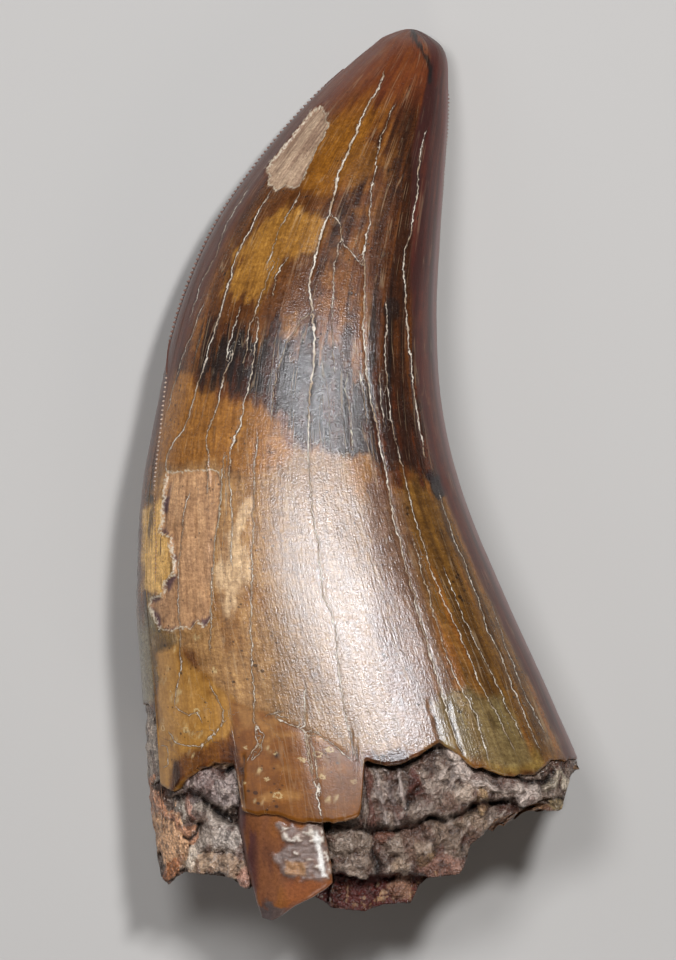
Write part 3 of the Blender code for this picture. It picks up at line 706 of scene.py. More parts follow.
# Hairlines: where a lengthwise noise passes through its middle value, in broken runs.
hair_at = add("VectorMath", {0: wrap_of, 1: (1, 1, 0.055)}, operation="MULTIPLY")
hair = add("TexNoise", {"Vector": hair_at, "Scale": 1 / 1.7, "Detail": 2, "Roughness": 0.5})
hair_away = add("Math", {0: hair, 1: 0.5}, operation="SUBTRACT")
hair_away = add("Math", {0: hair_away}, operation="ABSOLUTE")
hair_line = add("MapRange", {"Value": hair_away, 1: 0.004, 2: 0.013, 3: 1, 4: 0})
hair_run = add("MapRange", {"Value": groups, 1: 0.42, 2: 0.56, 4: 0.24})
hair_line = add("Math", {0: hair_line, 1: hair_run}, operation="MULTIPLY")
hair_line = add("Mix", {0: calm_tone, 2: hair_line, 3: 0})

# The windows' rims, a ragged pale line of splintered enamel.
rim_noise = add("TexNoise", {"Vector": wrap_of, "Scale": 1 / 0.5, "Detail": 3})
rim_at = add("MapRange", {"Value": rim_noise, 1: 0.3, 2: 0.7, 3: -0.16, 4: 0.16})
from_rim = add("Math", {0: window_of, 1: rim_at}, operation="ADD")
from_rim = add("Math", {0: from_rim}, operation="ABSOLUTE")
rim = add("MapRange", {"Value": from_rim, 1: 0.16, 2: 0.04, 4: 0.8})
rim_broken = add("MapRange", {"Value": fill_noise, 1: 0.35, 2: 0.55})
rim = add("Math", {0: rim, 1: rim_broken}, operation="MULTIPLY")
# Over the toned ground go bubble rings, specks, hairlines, the painted shade beside the cracks, the filling
# and the windows' rims.
for weight, colour in (
    (bubble_ring, rgba("#dcc48e")), (speckled, rgba("#180d07")), (hair_line, rgba("#c8ab84")),
    (crack_side_painted_shade, rgba("#1d0f07")), (filled, filling), (rim, rgba("#cdbfa6")),
):
    toned = add("MixRGB", {"Fac": weight, "Color1": toned, "Color2": colour})
tree.links.new(toned, shader["Base Color"])

# Gloss: polished enamel is the glossiest, the worn edges are satin, the filling and bare dentine are dull.
dull = add("MapRange", {"Value": window_of, 1: -0.05, 2: 0.1})
dull = add("Math", {0: dull, 1: filled}, operation="MAXIMUM")
gloss = add("MapRange", {"Value": blotches, 1: 0.3, 2: 0.7, 3: 0.20, 4: 0.31})
for weight, roughness in ((resin_of, 0.26), (mauve_and_reflection_of, 0.42), (dull, 0.58)):
    gloss = add("Mix", {0: weight, 2: gloss, 3: roughness})
tree.links.new(gloss, shader["Roughness"])
shader["Coat Weight"].default_value = 0.2
shader["Coat Roughness"].default_value = 0.20

grain = add("TexNoise", {"Vector": object_of, "Scale": 1 / (GRAIN_MM * MM), "Detail": 2, "Roughness": 0.6})
wrinkle_at = add("VectorMath", {0: wrap_of, 1: (1, 1, 0.12)}, operation="MULTIPLY")
wrinkles = add("TexNoise", {"Vector": wrinkle_at, "Scale": 1 / WRINKLE_MM, "Detail": 3})
relief = add("Math", {0: grain, 1: wrinkles}, operation="ADD")
smooth_share = add("MapRange", {"Value": plain, 3: 1, 4: 0.35})
relief = add("Math", {0: relief, 1: smooth_share}, operation="MULTIPLY")
skin = add("Bump", {"Height": relief, "Strength": 1, "Distance": 0.040 * MM})
line = add("Bump", {"Height": filled, "Normal": skin, "Strength": 1, "Distance": 0.05 * MM})
tree.links.new(line, shader["Normal"])
tree.links.new(line, shader["Coat Normal"])
crown_piece.data.materials.append(enamel)
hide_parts("tooth")
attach(crown_piece, "root")


# The broken base: dentine and the stone that filled the root's hollow, split off roughly below the enamel.
# Lumps, strands and slabs of stone stand at different depths, with deep gaps between them that are painted
# near-black as shade.
BASE_OUTER, BASE_RESTING, BASE_ROWS, FRACTURE_ROWS = 440, 100, 104, 60
OUTER_RIM = np.reshape((
    -26.1, -41.1, -25, -48, -24.5, -50.5, -23.5, -51.5, -22.5, -50.5, -21.3, -49.8, -15.5, -50.4, -14.5,
    -51.3, -13.3, -52, -12.6, -50.9, -10, -50.8, -6.4, -52.2, -3, -54.2, 1, -54.6, 3.5, -53.7, 6.8, -53.6,
    7.8, -51.5, 9, -50.3, 12.8, -49.9, 13.5, -48.9, 14.2, -46.2, 15.8, -45, 17.3, -43, 20.5, -42.1, 21.8,
    -41.1, 24, -41.2, 25, -42.2, 25.6, -41.9, 26.3, -39.2, 27.5, -35.9
), (-1, 2))
RESTING_RIM = np.reshape((
    -26, -41.1, -23, -44.6, -17, -46, -11, -48.4, -4, -46.8, 3, -47.6, 9, -46, 15, -43.6, 21, -42.2, 25,
    -39.8, 28.4, -37
), (-1, 2))
LEDGE = np.reshape((
    -3.4, -43.6, 0.6, -44.3, 3.4, -44.5, 6, -44.3, 7.6, -44.1, 9.2, -43.1, 11.9, -42.9, 13.9, -41.9, 16, -41,
    20, -40.6, 28, -40.2
), (-1, 2))

base_angles = np.concatenate((
    np.linspace(0, np.pi, BASE_OUTER, endpoint=False),
    np.linspace(np.pi, 2 * np.pi, BASE_RESTING, endpoint=False),
))
base_edge = edge_section(base_angles, OUTER_EDGE, RESTING_EDGE)
base_rim = edge_section(base_angles, OUTER_RIM, RESTING_RIM)
base_share = np.linspace(0, 1, BASE_ROWS)[:, None]
tucked = base_edge + 0.08
base_at = np.maximum(tucked + (np.minimum(base_rim, tucked - 0.02) - tucked) * base_share, 0)
base_angle = base_angles + 0 * base_at
stone = wall(base_angle, base_at)
stone_seen = seen(stone - np.array((0, 0, 3.0)))
across, upward = np.cos(base_angle), np.sin(base_angle)
below_edge = wall(base_angle, base_edge + 0 * base_at)[..., 1] - stone[..., 1]

lump_push = np.stack((fractal(stone, 2.2, 3, 201), fractal(stone, 2.2, 3, 211)), axis=-1) * 0.55
stone_at = stone_seen + lump_push
x, y = stone_at[..., 0], stone_at[..., 1]
under_ledge = ease((np.interp(x, LEDGE[:, 0], LEDGE[:, 1]) - y) / 0.7) * (x > -5)
depth = np.where(x < -14.6, 2.6 + 0.25 * below_edge, np.where(x < -3.0, 3.6 + 0.25 * below_edge, 2.1))
depth = depth + 2.9 * under_ledge + 4.3 * ease((-50.2 - y) / 0.6) * ease(x + 14) * (x < 9.4)
stone_ground = paint(
    np.zeros(stone.shape) + linear("#6c6157"),
    ("#3f2d26", ease(0.4 + 1.4 * fractal(stone, 1.5, 3, 221)) * 0.7),
    # The low step below the ledge: partly the stone's own dark red-brown, partly painted shade of the
    # underside.
    ("#47201b", ease((-50 - y) / 0.7) * ease(x + 6) * (x < 9.4)),
)

# Lumps of stone: x, y, half-sizes, turn in degrees, depth of top and of foot below the enamel, colour.
LUMPS = (
    (-18, -35.6, 3.4, 1.7, -15, 1.25, 2.2, "#9a8368"), (-18.8, -39, 2.3, 2.1, 0, 1.3, 2.8, "#857a76"),
    (-15.8, -39.3, 2.1, 2.6, 0, 1.1, 2.6, "#8f8682"), (-14.1, -38.3, 1.1, 2.1, 0, 0.9, 2, "#b9b3ac"),
    (-19.7, -42.8, 1.7, 1.6, 0, 2, 3.6, "#938c82"), (-17.9, -43.9, 1.8, 1.6, 0, 1.9, 3.5, "#9d968d"),
    (-16.2, -45.8, 2, 1.8, 0, 1.6, 3.3, "#aba69e"), (-22, -42.4, 1.2, 1.3, 0, 2.1, 3.3, "#8a857b"),
    (-18.9, -46.4, 1.6, 1.3, 0, 2.3, 3.5, "#8b847a"), (-14.5, -47.2, 1.2, 1.8, 0, 2.4, 3.4, "#887c74"),
    (-19.5, -48.9, 2.2, 1.2, 0, 2.2, 3.4, "#9c8973"), (-16, -49.1, 2.4, 1.2, 0, 2.3, 3.5, "#92806d"),
    (-20.6, -48.2, 0.6, 1.4, -15, 1.8, 2.4, "#c4bbaa"), (-23.7, -45.8, 2.1, 3.4, 25, 1.2, 2.2, "#c09c78"),
    (-23, -49.5, 0.9, 2.4, -30, 1.2, 2.9, "#9c6a45"), (-13.8, -51, 0.8, 1.2, 0, 2.4, 3.4, "#a98574"),
    (7.5, -38.8, 1.2, 2.1, 12, 1.7, 2.6, "#4b2a22"), (9.6, -39.6, 1.5, 1.8, 0, 1.2, 2.5, "#8a8076"),
    (11.3, -40.9, 1.6, 1.2, 0, 1.3, 2.6, "#84776a"), (8.6, -41.9, 1.5, 1.1, 0, 1.4, 2.6, "#7b726a"),
    (5.8, -43.1, 1.6, 1, 0, 1.6, 2.7, "#574640"), (13.6, -40, 1.4, 1.1, 0, 1.1, 2.2, "#a39789"),
    (15.7, -41, 0.8, 1.4, 10, 1.1, 2.5, "#a08a6a"), (18.6, -38.5, 3.3, 0.9, -13, 1.6, 2.1, "#6d615a"),
    (24.9, -41.7, 0.8, 0.7, 0, 1, 2.2, "#85785a"), (-1.8, -46.6, 1.7, 1.6, 0, 3.8, 5.4, "#756b60"),
    (0.7, -46.1, 1.5, 1.8, 0, 3.7, 5.2, "#7d7266"), (0.4, -49.1, 2.1, 1.2, 0, 4.1, 5.4, "#83776b"),
    (3.3, -45.6, 1.6, 1, -25, 3.7, 4.9, "#5c3e30"), (5.4, -46.7, 2.1, 1.8, 0, 3.6, 5.2, "#786c60"),
    (5.6, -49.2, 1.4, 1.1, 0, 4.1, 5.3, "#877867"), (8.3, -47.3, 1.8, 1.5, 0, 3.4, 5, "#887a6b"),
    (10.2, -45.1, 2.3, 1.9, 0, 3.4, 5.2, "#746659"), (12.5, -46.5, 1.6, 1.7, 0, 3.7, 5, "#6c6054"),
    (14.3, -44.3, 2, 1.6, -30, 3.3, 5, "#7a6c5d"), (8.7, -48.4, 1.4, 0.8, 35, 3.3, 4.6, "#8f7a5c"),
    (10.8, -49.4, 3.3, 1.2, 0, 4.1, 4.6, "#7b5f52"), (5.7, -52, 1.3, 2, 0, 8.2, 9, "#7c5f4d"),
)
# Strands of stone along lines of x, y points: half-width, depth of the crest and of the foot, colour.
STRANDS = (
    (1, 1.2, 1.9, "#9c9488", -25.9, -29, -25.7, -34, -25.4, -38.2),
    (0.85, 0.8, 2.4, "#a87f63", -25.9, -38.4, -26.3, -39.4, -25.4, -41.1, -23.6, -43, -22.2, -44.9, -20.9,
        -45.6),
    (0.5, 1.8, 3.2, "#96786a", -21, -40.6, -20.9, -42.4, -20.6, -43.6),
    (0.6, 1.2, 2.5, "#5e4138", 1, -36.6, 1.6, -40, 2.2, -44.2),
    (0.5, 1.1, 2.4, "#98908a", 2.4, -37, 3, -40, 3.9, -44.2),
    (0.5, 1.2, 2.4, "#6d6460", 3.6, -37, 4.4, -40.5, 5.2, -44),
    (0.45, 1, 2.4, "#a29a94", 5.1, -37.2, 5.7, -40, 6.6, -42.3),
    (1.2, 0.8, 2.3, "#a8a098", 11.4, -34.6, 13, -36.4, 14.6, -38.2, 16.7, -39.5, 19.4, -39.7, 22, -40.4),
    (0.7, 1, 2.3, "#9c938a", 12.4, -36.4, 11.4, -38, 10.2, -38.8),
    (0.6, 0.7, 2.2, "#9a9484", 23.6, -39.6, 24.6, -38.2, 25.5, -37.4, 26.5, -38.4, 26.2, -39.3),
)
# Gaps between them, painted near-black as shade: half-width, how much deeper, and x, y points.
GAPS = (
    (0.55, 2.4, -23.1, -41.5, -21.9, -40.6, -20.9, -39.9, -19.5, -40.7, -18.4, -41.9, -17.3, -42.6, -15.8,
        -43.4, -14.9, -43.7),
    (0.35, 2, -17.4, -38, -16.5, -37.6, -15.4, -36.8, -14.3, -35.8),
    (0.30, 1.4, -20, -44.3, -20.3, -45.2, -21.1, -46, -22.2, -45.7),
    (0.40, 1.2, -21.6, -38.9, -22.6, -39.4, -23.9, -38.6, -24.6, -36),
    (0.45, 1.4, -3.4, -43.7, 0.6, -44.4, 3.4, -44.6, 6, -44.5, 7.6, -44.3, 9.2, -43.4, 11.9, -43.1, 13.9,
        -42.2, 16, -41.6, 20, -41.2),
    (0.50, 1.4, 0.4, -35.2, 2.2, -36.6, 4.6, -36.9, 6.4, -36.7, 9.2, -35, 10.6, -34.2),
    (0.40, 1.2, 14.2, -36.5, 17.1, -37.7, 19.5, -38.1, 22.1, -39.2, 23.4, -38.6, 24.6, -37.2),
    (0.35, 1.5, 2.9, -50.4, 2.3, -48.6, 1.9, -47.2),
    (0.30, 1, 6.8, -42.6, 7, -41, 7.9, -39.2),
    (0.25, 0.8, 13.4, -47.6, 13.2, -46.6, 13.8, -45.6),
)


def rise_above(depth, ground, lump_depth, colour):
    """Where a lump stands above the surface so far, its depth and colour take the surface's place, with a
    rounded join."""
    blend = ease(0.5 + (depth - lump_depth) / 0.5)
    joined = depth + (lump_depth - depth) * blend
    return joined, paint(ground, (colour, blend))


crags = fractal(stone, 1.2, 2, 235)
for x0, y0, half_x, half_y, turn, top, foot, colour in LUMPS:
    c, s = np.cos(np.radians(turn)), np.sin(np.radians(turn))
    u = ((x - x0) * c + (y - y0) * s) / half_x
    v = ((y - y0) * c - (x - x0) * s) / half_y
    out = (abs(u) ** 2.6 + abs(v) ** 2.6) ** (1 / 2.6) * (1 + 0.30 * crags)
    tilt = 0.35 * (u * np.sin(7 * x0) + v * np.cos(5 * y0)) * min(half_x, half_y) / 1.6
    lump_depth = np.where(out < 1.15, top + (foot - top) * np.minimum(out, 1.15) ** 2 + tilt, 99.0)
    depth, stone_ground = rise_above(depth, stone_ground, lump_depth, colour)
for half_width, top, foot, colour, *line in STRANDS:
    away, share_along = along(stone_at, line)
    out = abs(away) / (half_width * (0.8 + 0.35 * np.sin(9 * share_along + half_width * 20)))
    lump_depth = np.where(out < 1.15, top + (foot - top) * np.minimum(out, 1.15) ** 2, 99.0)
    depth, stone_ground = rise_above(depth, stone_ground, lump_depth, colour)
for half_width, deeper, *line in GAPS:
    away, share_along = along(stone_at, line)
    open_here = np.exp(-((away / half_width) ** 2)) * ease(0.4 + 9 * np.minimum(share_along, 1 - share_along))
    depth = depth + deeper * open_here
    # Painted shade: each gap's line is laid near-black.
    stone_ground = paint(stone_ground, ("#17100c", open_here * 1.1 - 0.1))

# Grain of the stone: ridged noise in three sizes, with raised crests painted pale as glints, rusty patches,
# and hollows painted dark as shade.
ridged = 1 - 2 * abs(fractal(stone, 1.6, 2, 231))
crumbs = fractal(stone, 0.7, 3, 241)
chips = 1 - 3 * abs(fractal(stone + 0.4 * crumbs[..., None], 0.9, 2, 245))
smooth_parts = np.zeros(x.shape)
for outline in (
    (16, -37.4, 22, -38.6, 21.6, -40, 16.4, -39.2),
    (7.6, -49.8, 8.8, -48.2, 13.8, -48.4, 12.4, -50.6),
    (-25.4, -43, -22.7, -45, -20.9, -46.8, -23, -49.5, -24.8, -48.4),
    (6.2, -37, 9, -37.2, 7, -41.4),
    (3, -44.8, 5, -45.4, 3.6, -46.4, 2, -45.6),
    (4.6, -50.6, 7.4, -50.8, 7, -53.8, 5, -53),
):
    smooth_parts = np.maximum(smooth_parts, ease(0.5 + inside(stone_at, outline) / 0.6))
roughened = ease(below_edge / 0.8 + 0.4) * (1 - 0.75 * smooth_parts)
depth = depth - (0.22 * ridged + 0.30 * crumbs + 0.24 * chips) * roughened
# Painted glints: the raised crests of the grain are made paler.
crest_painted_glints = ease(1.4 * ridged + 0.8 * chips - 1.1) * (1 - smooth_parts) * ease((y + 50.4) / 0.6)
stone_ground = paint(
    stone_ground,
    ("#b8afa4", crest_painted_glints * 0.6),
    ("#4a2c20", ease(2.2 * fractal(stone, 1.3, 3, 251) - 0.3) * 0.6),
    # Painted shade: the grain's hollows are made darker.
    ("#241812", ease(-2.0 * crumbs - 0.3) * 0.6),
) * np.array((1.12, 1.0, 0.94))
depth = np.where(below_edge < 0.3, np.maximum(depth, ENAMEL_THICKNESS + 0.25), depth)
resting_depth = 1.2 + 0.45 * np.maximum(below_edge, 0) + (0.25 * ridged + 0.2 * crumbs)
depth = np.where(upward > 0, depth, resting_depth)
stone[..., 2] = np.maximum(stone[..., 2] - depth * upward, 0.02)
side_relief = 0.30 + 0.30 * fractal(stone, 1.8, 3, 261) + 1.1 * ease((0.35 - below_edge) / 0.5)
draw_in = abs(across) ** 8 * side_relief
stone[..., 0] -= np.sign(across) * np.maximum(draw_in, 0.05)

# The fracture face: level with the rim at its edge, hollow in the middle where the pulp cavity was.
FRACTURE_LEVEL = np.array(((-26.0, -44.5), (-10.0, -47.0), (6.0, -46.2), (14.0, -43.4), (27.5, -38.0)))
middle = np.array((1.5, 15.5))
rim_ring = stone[-1]
inward = (np.arange(1, FRACTURE_ROWS) / FRACTURE_ROWS)[:, None]
face_x = rim_ring[:, 0] + (middle[0] - rim_ring[:, 0]) * inward
face_z = rim_ring[:, 2] + (middle[1] - rim_ring[:, 2]) * inward
level = np.interp(face_x, FRACTURE_LEVEL[:, 0], FRACTURE_LEVEL[:, 1]) - 0.16 * (face_z - middle[1])
hollow = np.hypot((face_x - middle[0]) / 11.5, (face_z - middle[1]) / 5)
level = level + 2.4 * ease(1.6 * (1.25 - hollow))
lumps_at = np.stack((face_x, level, face_z), axis=-1)
face_lumps, face_crumbs = fractal(lumps_at, 5.0, 3, 271), fractal(lumps_at, 1.3, 3, 281)
face_ribs = 1 - 2 * abs(fractal(lumps_at, 3.0, 2, 291))
layers = np.sin(26 * hollow + 3 * face_lumps) * ease((hollow - 1.15) / 0.3)
level = level + 1.5 * face_lumps + 0.45 * face_crumbs - 0.6 * face_ribs + 0.10 * layers
held = (1 - inward) ** 8
face = np.stack((face_x, rim_ring[:, 1] * held + level * (1 - held), face_z), axis=-1)
filling = ease((1.25 + 0.15 * face_crumbs - hollow) / 0.12)
face_ground = paint(
    np.zeros(face.shape) + linear("#7a5c44"),
    ("#93704e", ease(1.5 * layers) * 0.6),
    ("#4a2c20", ease(-1.5 * face_lumps) * 0.7),
    ("#8a8278", filling * 0.9),
    ("#c4bbae", filling * ease(1.8 * face_ribs + 0.8 * face_crumbs - 0.8) * 0.7),
    ("#3a2a22", ease(-1.8 * face_crumbs - 0.3) * 0.7),
)

tuck = wall(base_angles[None, :], base_edge[None, :] + 0.12, 2.0)
base_rings = np.concatenate((face[::-1], stone[::-1], tuck))
base_ground = np.concatenate((face_ground[::-1], stone_ground[::-1], stone_ground[:1]))
face_pole = np.array((middle[0], level[-1].mean(), middle[1]))
base_piece = solid_of_rings("broken_base", base_rings, face_pole, tuck[0].mean(0), {"ground": base_ground})

# Broken dentine and stone: dull and gritty, with crystal faces that glitter, so the grit is a strong bump
# under a gloss that changes from grain to grain. The grains are drawn coarser than they are.
GRIT_MM = 0.36


def gritty_colour(darkest, palest):
    """Makes the ground attribute lighter and darker from grain to grain, links it to the base colour, and
    gives the grit that it was made with."""
    object_of = add("TexCoord", output="Object")
    grit = add("TexNoise", {"Vector": object_of, "Scale": 1 / (GRIT_MM * MM), "Detail": 4, "Roughness": 0.7})
    tone = add("MapRange", {"Value": grit, 1: 0.3, 2: 0.7, 3: darkest, 4: palest})
    ground_of = add("Attribute", output="Color", attribute_name="ground")
    tree.links.new(add("VectorMath", {0: ground_of, "Scale": tone}, operation="SCALE"), shader["Base Color"])
    return grit


gritty, tree, shader = new_material("broken_glittering_stone", 1.55)
grit = gritty_colour(0.5, 1.75)
grains = add("TexVoronoi", {"Vector": add("TexCoord", output="Object"), "Scale": 1 / (GRIT_MM * MM)})
gloss = add("MapRange", {"Value": grains.node.outputs["Color"], 1: 0.1, 2: 0.9, 3: 0.14, 4: 0.50})
tree.links.new(gloss, shader["Roughness"])
relief = add("Math", {0: grit, 1: grains}, operation="ADD")
tree.links.new(add("Bump", {"Height": relief, "Strength": 1, "Distance": 0.22 * MM}), shader["Normal"])
base_piece.data.materials.append(gritty)
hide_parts("tooth")
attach(base_piece, "root")


# The splinter: a prong of dark, glossy dentine that points down from under the amber plate. Its right side
# carries a crust of pale crystals. It is held between the enamel above and the stone behind.
SPLINTER_ROWS, SPLINTER_RING = 150, 128
splinter_y = np.linspace(-55.6, -40.6, SPLINTER_ROWS)
splinter_left = np.interp(splinter_y, (-55.6, -55.3, -53.6, -51.1, -47.6, -44.1, -41.9, -40.6),
                          (-10.7, -11.6, -12.3, -13.0, -13.95, -14.6, -14.6, -14.4))
splinter_right = np.interp(splinter_y, (-55.6, -55.2, -53.8, -52.7, -51.6, -50.9, -48.9, -46.3, -44.3, -40.6),
                           (-10.3, -9.4, -7.5, -5.3, -3.6, -2.9, -3.0, -3.5, -4.0, -4.4))
splinter_turn = np.linspace(0, 2 * np.pi, SPLINTER_RING, endpoint=False)
c, s = np.cos(splinter_turn), np.sin(splinter_turn)
radius = (abs(c) ** 3.2 + abs(s) ** 3.2) ** (-1 / 3.2)
half_width = ((splinter_right - splinter_left) / 2)[:, None]
splinter_x = ((splinter_left + splinter_right) / 2)[:, None] + half_width * radius * c
splinter_at = np.interp(splinter_y, STEP_VALUES[:250, 1], STEPS[:250])
splinter_section = section_values(splinter_at)
across_here = np.clip((splinter_x - splinter_section[:, 0:1]) / splinter_section[:, 2:3], -1, 1)
power = SQUARENESS - SQUARER_BELOW
wall_z = splinter_section[:, 4:5] + splinter_section[:, 5:6] * (1 - abs(across_here) ** power) ** (1 / power)
thickness = np.interp(splinter_y, (-55.6, -54.5, -52.0, -48.0, -40.6), (0.5, 1.5, 2.6, 3.6, 4.0))[:, None]
slope_down = 1.25 + 0.10 * (-43.0 - splinter_y)[:, None] + 0.5 * ease((-53.0 - splinter_y) / 2.6)[:, None]
splinter_z = wall_z - slope_down - thickness * (0.5 - 0.5 * radius * s)
splinter = np.stack((splinter_x, splinter_y[:, None] + 0 * splinter_x, splinter_z), axis=-1)
top_side = ease(s * 3)[None, :] + 0 * splinter_x
crust_outline = (-9.9, -43.6, -3.6, -43.6, -3, -50.6, -5, -50.9, -9, -50.2, -9.6, -48, -8.8, -46.3)
crust = inside(splinter[..., :2], crust_outline) - 0.35 + 1.3 * fractal(splinter, 1.7, 4, 301)
crust = ease(0.5 + crust / 0.9) * top_side
crystals = fractal(splinter, 0.8, 3, 311)
ripple = fractal(splinter * np.array((1, 0.2, 1)), 1.4, 3, 321)
splinter[..., 2] += (0.45 * crystals + 0.25) * crust + 0.10 * ripple
blob = ease(0.5 + inside(splinter[..., :2], (-8.7, -48.2, -6.2, -48.4, -6.3, -50.1, -8.8, -49.8)) / 0.4)
vein, _ = along(splinter[..., :2], (-4.9, -44.6, -4.6, -46.8, -4, -49.9))
x, y = splinter[..., 0], splinter[..., 1]
splinter_ground = paint(
    np.zeros(splinter.shape) + linear("#75482c"),
    ("#42262a", ease((-11.8 - x + 0.6 * ripple) / 1.2 + 0.2) * 0.8),
    ("#84501f", ease(1.8 * ripple + 0.1) * 0.5),
    ("#3d2320", ease(-1.8 * ripple - 0.1) * 0.5),
    ("#4a4443", ease(-53.3 - y + 0.9 * crystals) * 0.85),
    ("#8d4e28", ease(-50.2 - y) * ease((x + 9.5) / 1.5) * 0.5),
    ("#7a6a62", crust * ease(0.75 - crystals) * 0.9),
    ("#d4cabb", crust * ease(2.4 * crystals - 0.25 + 0.6 * ripple) * 0.8),
    ("#9a7350", blob * crust),
    ("#e4dfd6", ease((0.45 - abs(vein) + 0.3 * crystals) / 0.3) * crust),
)
splinter_piece = solid_of_rings(
    "dentine_splinter", splinter, splinter[0].mean(0), splinter[-1].mean(0),
    {"ground": splinter_ground, "crust": crust},
)

# Dentine with a polish of its own, like horn, dull only where the crystals have grown on it.
horn, tree, shader = new_material("dark_polished_dentine", 1.56)
grit = gritty_colour(0.75, 1.3)
crust_of = add("Attribute", output="Fac", attribute_name="crust")
tree.links.new(add("Mix", {0: crust_of, 2: 0.27, 3: 0.5}), shader["Roughness"])
height = add("MapRange", {"Value": crust_of, 3: 0.2})
relief = add("Math", {0: grit, 1: height}, operation="MULTIPLY")
tree.links.new(add("Bump", {"Height": relief, "Strength": 1, "Distance": 0.10 * MM}), shader["Normal"])
splinter_piece.data.materials.append(horn)
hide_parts("tooth")
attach(splinter_piece, "root")


# The carinae: keen enamel edges down the front and the rear, cut into blunt denticles about 0.56 mm apart.
# The front one twists onto the outer face towards the base, and its denticles are lost in a chip and worn
# near the base.
DENTICLE_PITCH, ROWS_PER_DENTICLE, KEEL_RING = 0.56, 8, 12


def keel(name, low, high, turned, stand, cut, worn, tint):
    """A low ridge that follows the surface at the given angle, from one length along the tooth to another.
    Its crest stands out from the surface, and every pitch the crest dips by cut, less where it is worn."""
    rows = int((high - low) / DENTICLE_PITCH) * ROWS_PER_DENTICLE
    reach = np.linspace(low, high, rows)
    at = np.interp(reach, STEP_LENGTHS, STEPS)
    values = section_values(at)
    level_y = values[:, 1]
    middle_angle = turned(level_y)
    fade = ease((reach - low) / 2) * ease((high - reach) / 2)
    foot_half = 0.75 * fade + 0.02
    speed = np.hypot(values[:, 2] * np.sin(middle_angle), values[:, 5] * np.cos(middle_angle))
    swing = foot_half / np.maximum(speed, 0.5)
    front_foot = wall(middle_angle - swing, at, 0.5)
    back_foot = wall(middle_angle + swing, at, 0.5)
    crest = wall(middle_angle, at)
    centre = np.stack((values[:, 0], values[:, 1], values[:, 4]), axis=-1)
    outward = crest - centre
    outward /= np.maximum(np.linalg.norm(outward, axis=-1, keepdims=True), 1e-9)
    phase = (reach / DENTICLE_PITCH) % 1.0
    tooth_shape = np.clip(1.35 - 4.32 * abs(phase - 0.5), 0, 1) ** 0.6
    uneven = 1 + 0.25 * lattice_noise(np.stack((reach / DENTICLE_PITCH, 0 * reach, 0 * reach), axis=-1), 401)
    keep = 1 - worn(level_y)
    lift = ((stand - cut * (1 - tooth_shape)) * keep * uneven + 0.03) * fade
    crest = crest + outward * lift[:, None]
    ring = ease(np.linspace(0, 1, KEEL_RING // 2))[None, :, None]
    left = front_foot[:, None] + (crest - front_foot)[:, None] * ring**0.8
    right = crest[:, None] + (back_foot - crest)[:, None] * (1 - (1 - ring) ** 0.8)
    under = (front_foot + back_foot) / 2 - outward * 0.5
    rings = np.concatenate((left, right[:, 1:], under[:, None]), axis=1)
    crest_distance = np.linalg.norm(crest - centre, axis=-1)[:, None]
    tips = ease(np.linalg.norm(rings - centre[:, None], axis=-1) - crest_distance + 0.9)
    shaped = (tooth_shape * keep)[:, None]
    keel_ground = paint(
        np.zeros(rings.shape) + linear("#5c3226"),
        (tint, ease((13 - level_y) / 4)[:, None] + 0 * tips),
        ("#a07a68", tips * shaped * 0.7),
        ("#cdb9a6", tips * shaped * ease((13 - level_y) / 2)[:, None] * 0.8),
        # Painted shade in the notches between the denticles.
        ("#2e1812", ((1 - tooth_shape) * keep)[:, None] * 0.7 + 0 * tips),
    )
    return solid_of_rings(name, rings, rings[0].mean(0), rings[-1].mean(0), {"ground": keel_ground})


def front_turn(level_y):
    """The front edge's angle: the silhouette near the tip, and further over the outer face near the base."""
    twist = (0.44, 0.47, 0.40, 0.36, 0.26, 0.06, 0)
    return np.pi - np.interp(level_y, (-20, -9, -1.4, 5, 11.6, 16, 30), twist)


def front_wear(level_y):
    """How far the front denticles are worn away: all in the chip and almost all near the base."""
    chip_here = ease((level_y - 11.4) / 0.8) * ease((16.2 - level_y) / 0.8)
    base_wear = 0.75 * ease((-0.8 - level_y) / 2)
    tip_wear = ease((level_y - 46) / 2)
    return np.clip(chip_here + base_wear + tip_wear, 0, 0.97)


front_low, front_high = np.interp((-14.0, 49.5), STEP_VALUES[:, 1], STEP_LENGTHS)
front_keel = keel("front_denticles", front_low, front_high, front_turn, 0.10, 0.28, front_wear, "#93683f")
rear_keel = keel("rear_denticles", front_low, front_high, lambda level_y: -0.25 + 0 * level_y, 0.20, 0.28,
                 lambda level_y: 0.6 * ease((-8 - level_y) / 6), "#6a3a30")

# Enamel of the keen edges, polished but rubbed: too thin to hold a stain, so only its lightness varies.
edge_enamel, tree, shader = new_material("polished_edge_enamel", 1.6)
object_of = add("TexCoord", output="Object")
grain = add("TexNoise", {"Vector": object_of, "Scale": 1 / (GRAIN_MM * MM), "Detail": 3})
tone = add("MapRange", {"Value": grain, 1: 0.3, 2: 0.7, 3: 0.8, 4: 1.2})
ground_of = add("Attribute", output="Color", attribute_name="ground")
tree.links.new(add("VectorMath", {0: ground_of, "Scale": tone}, operation="SCALE"), shader["Base Color"])
shader["Roughness"].default_value = 0.35
tree.links.new(add("Bump", {"Height": grain, "Strength": 1, "Distance": 0.01 * MM}), shader["Normal"])
for piece in (front_keel, rear_keel):
    piece.data.materials.append(edge_enamel)
    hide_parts("tooth")
    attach(piece, "root")


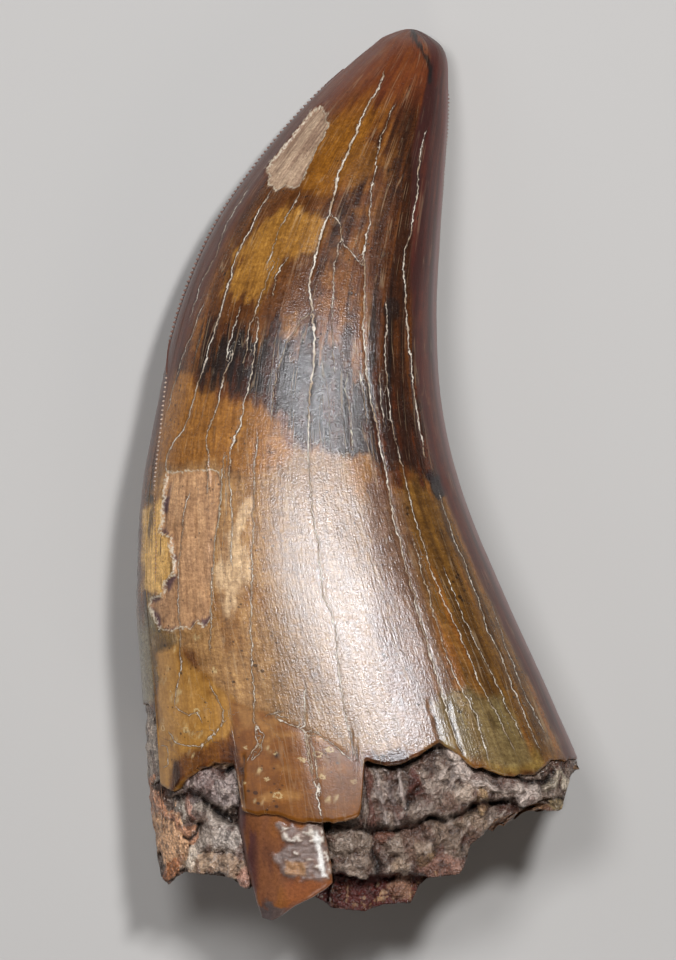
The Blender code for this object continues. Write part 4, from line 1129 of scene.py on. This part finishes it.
# Floor, camera and lights: a pale sheet of card under the tooth, the lens straight above it as in the
# photograph, a small key lamp and a broad soft one beyond the tip that make the highlight and its sheen, and
# weak fill lamps.
floor_mesh = bpy.data.meshes.new("floor")
reach = 1.5
corners = [(-reach, -reach, 0), (reach, -reach, 0), (reach, reach, 0), (-reach, reach, 0)]
floor_mesh.from_pydata(corners, [], [(0, 1, 2, 3)])
floor = bpy.data.objects.new("floor", floor_mesh)
bpy.context.scene.collection.objects.link(floor)
card = bpy.data.materials.new("pale_card")
card.use_nodes = True
sockets = card.node_tree.nodes["Principled BSDF"].inputs
sockets["Base Color"].default_value = rgba("#b6b3ae")
sockets["Roughness"].default_value = 0.9
floor_mesh.materials.append(card)

PICTURE_HEIGHT, SENSOR = 120.0, 36.0
camera_data = bpy.data.cameras.new("camera")
camera_data.sensor_width = SENSOR
camera_data.lens = SENSOR * (LENS_HEIGHT - WIDEST_LEVEL) / PICTURE_HEIGHT
camera_data.clip_start, camera_data.clip_end = 0.05, 10.0
camera = bpy.data.objects.new("camera", camera_data)
camera.location = (PICTURE_MIDDLE[0] * MM, PICTURE_MIDDLE[1] * MM, LENS_HEIGHT * MM)
bpy.context.scene.collection.objects.link(camera)
bpy.context.scene.camera = camera


def lamp(name, at, size, power, colour):
    """An oblong soft lamp at a point in metres, facing the tooth's middle."""
    data = bpy.data.lights.new(name, "AREA")
    data.shape = "RECTANGLE"
    data.size, data.size_y = size
    data.energy = power
    data.color = linear(colour)
    light = bpy.data.objects.new(name, data)
    light.location = at
    direction = Vector((0.0, 0.0, 0.02)) - Vector(at)
    light.rotation_euler = direction.to_track_quat("-Z", "Y").to_euler()
    bpy.context.scene.collection.objects.link(light)


lamp("key_lamp", (0.108, 0.154, 0.56), (0.05, 0.08), 2.6, "#f8faff")
lamp("broad_lamp", (-0.10, 0.125, 0.56), (0.15, 0.10), 1.55, "#f8faff")
lamp("front_fill", (-0.5, 0.1, 0.45), (0.35, 0.35), 0.3, "#f6f4ff")
lamp("base_fill", (0.2, -0.6, 0.4), (0.25, 0.25), 0.7, "#fff4ec")
world = bpy.data.worlds.new("studio")
world.use_nodes = True
background = world.node_tree.nodes["Background"].inputs
background["Color"].default_value = rgba("#c9ccd2")
background["Strength"].default_value = 0.08
bpy.context.scene.world = world
bpy.context.scene.view_settings.view_transform = "Standard"
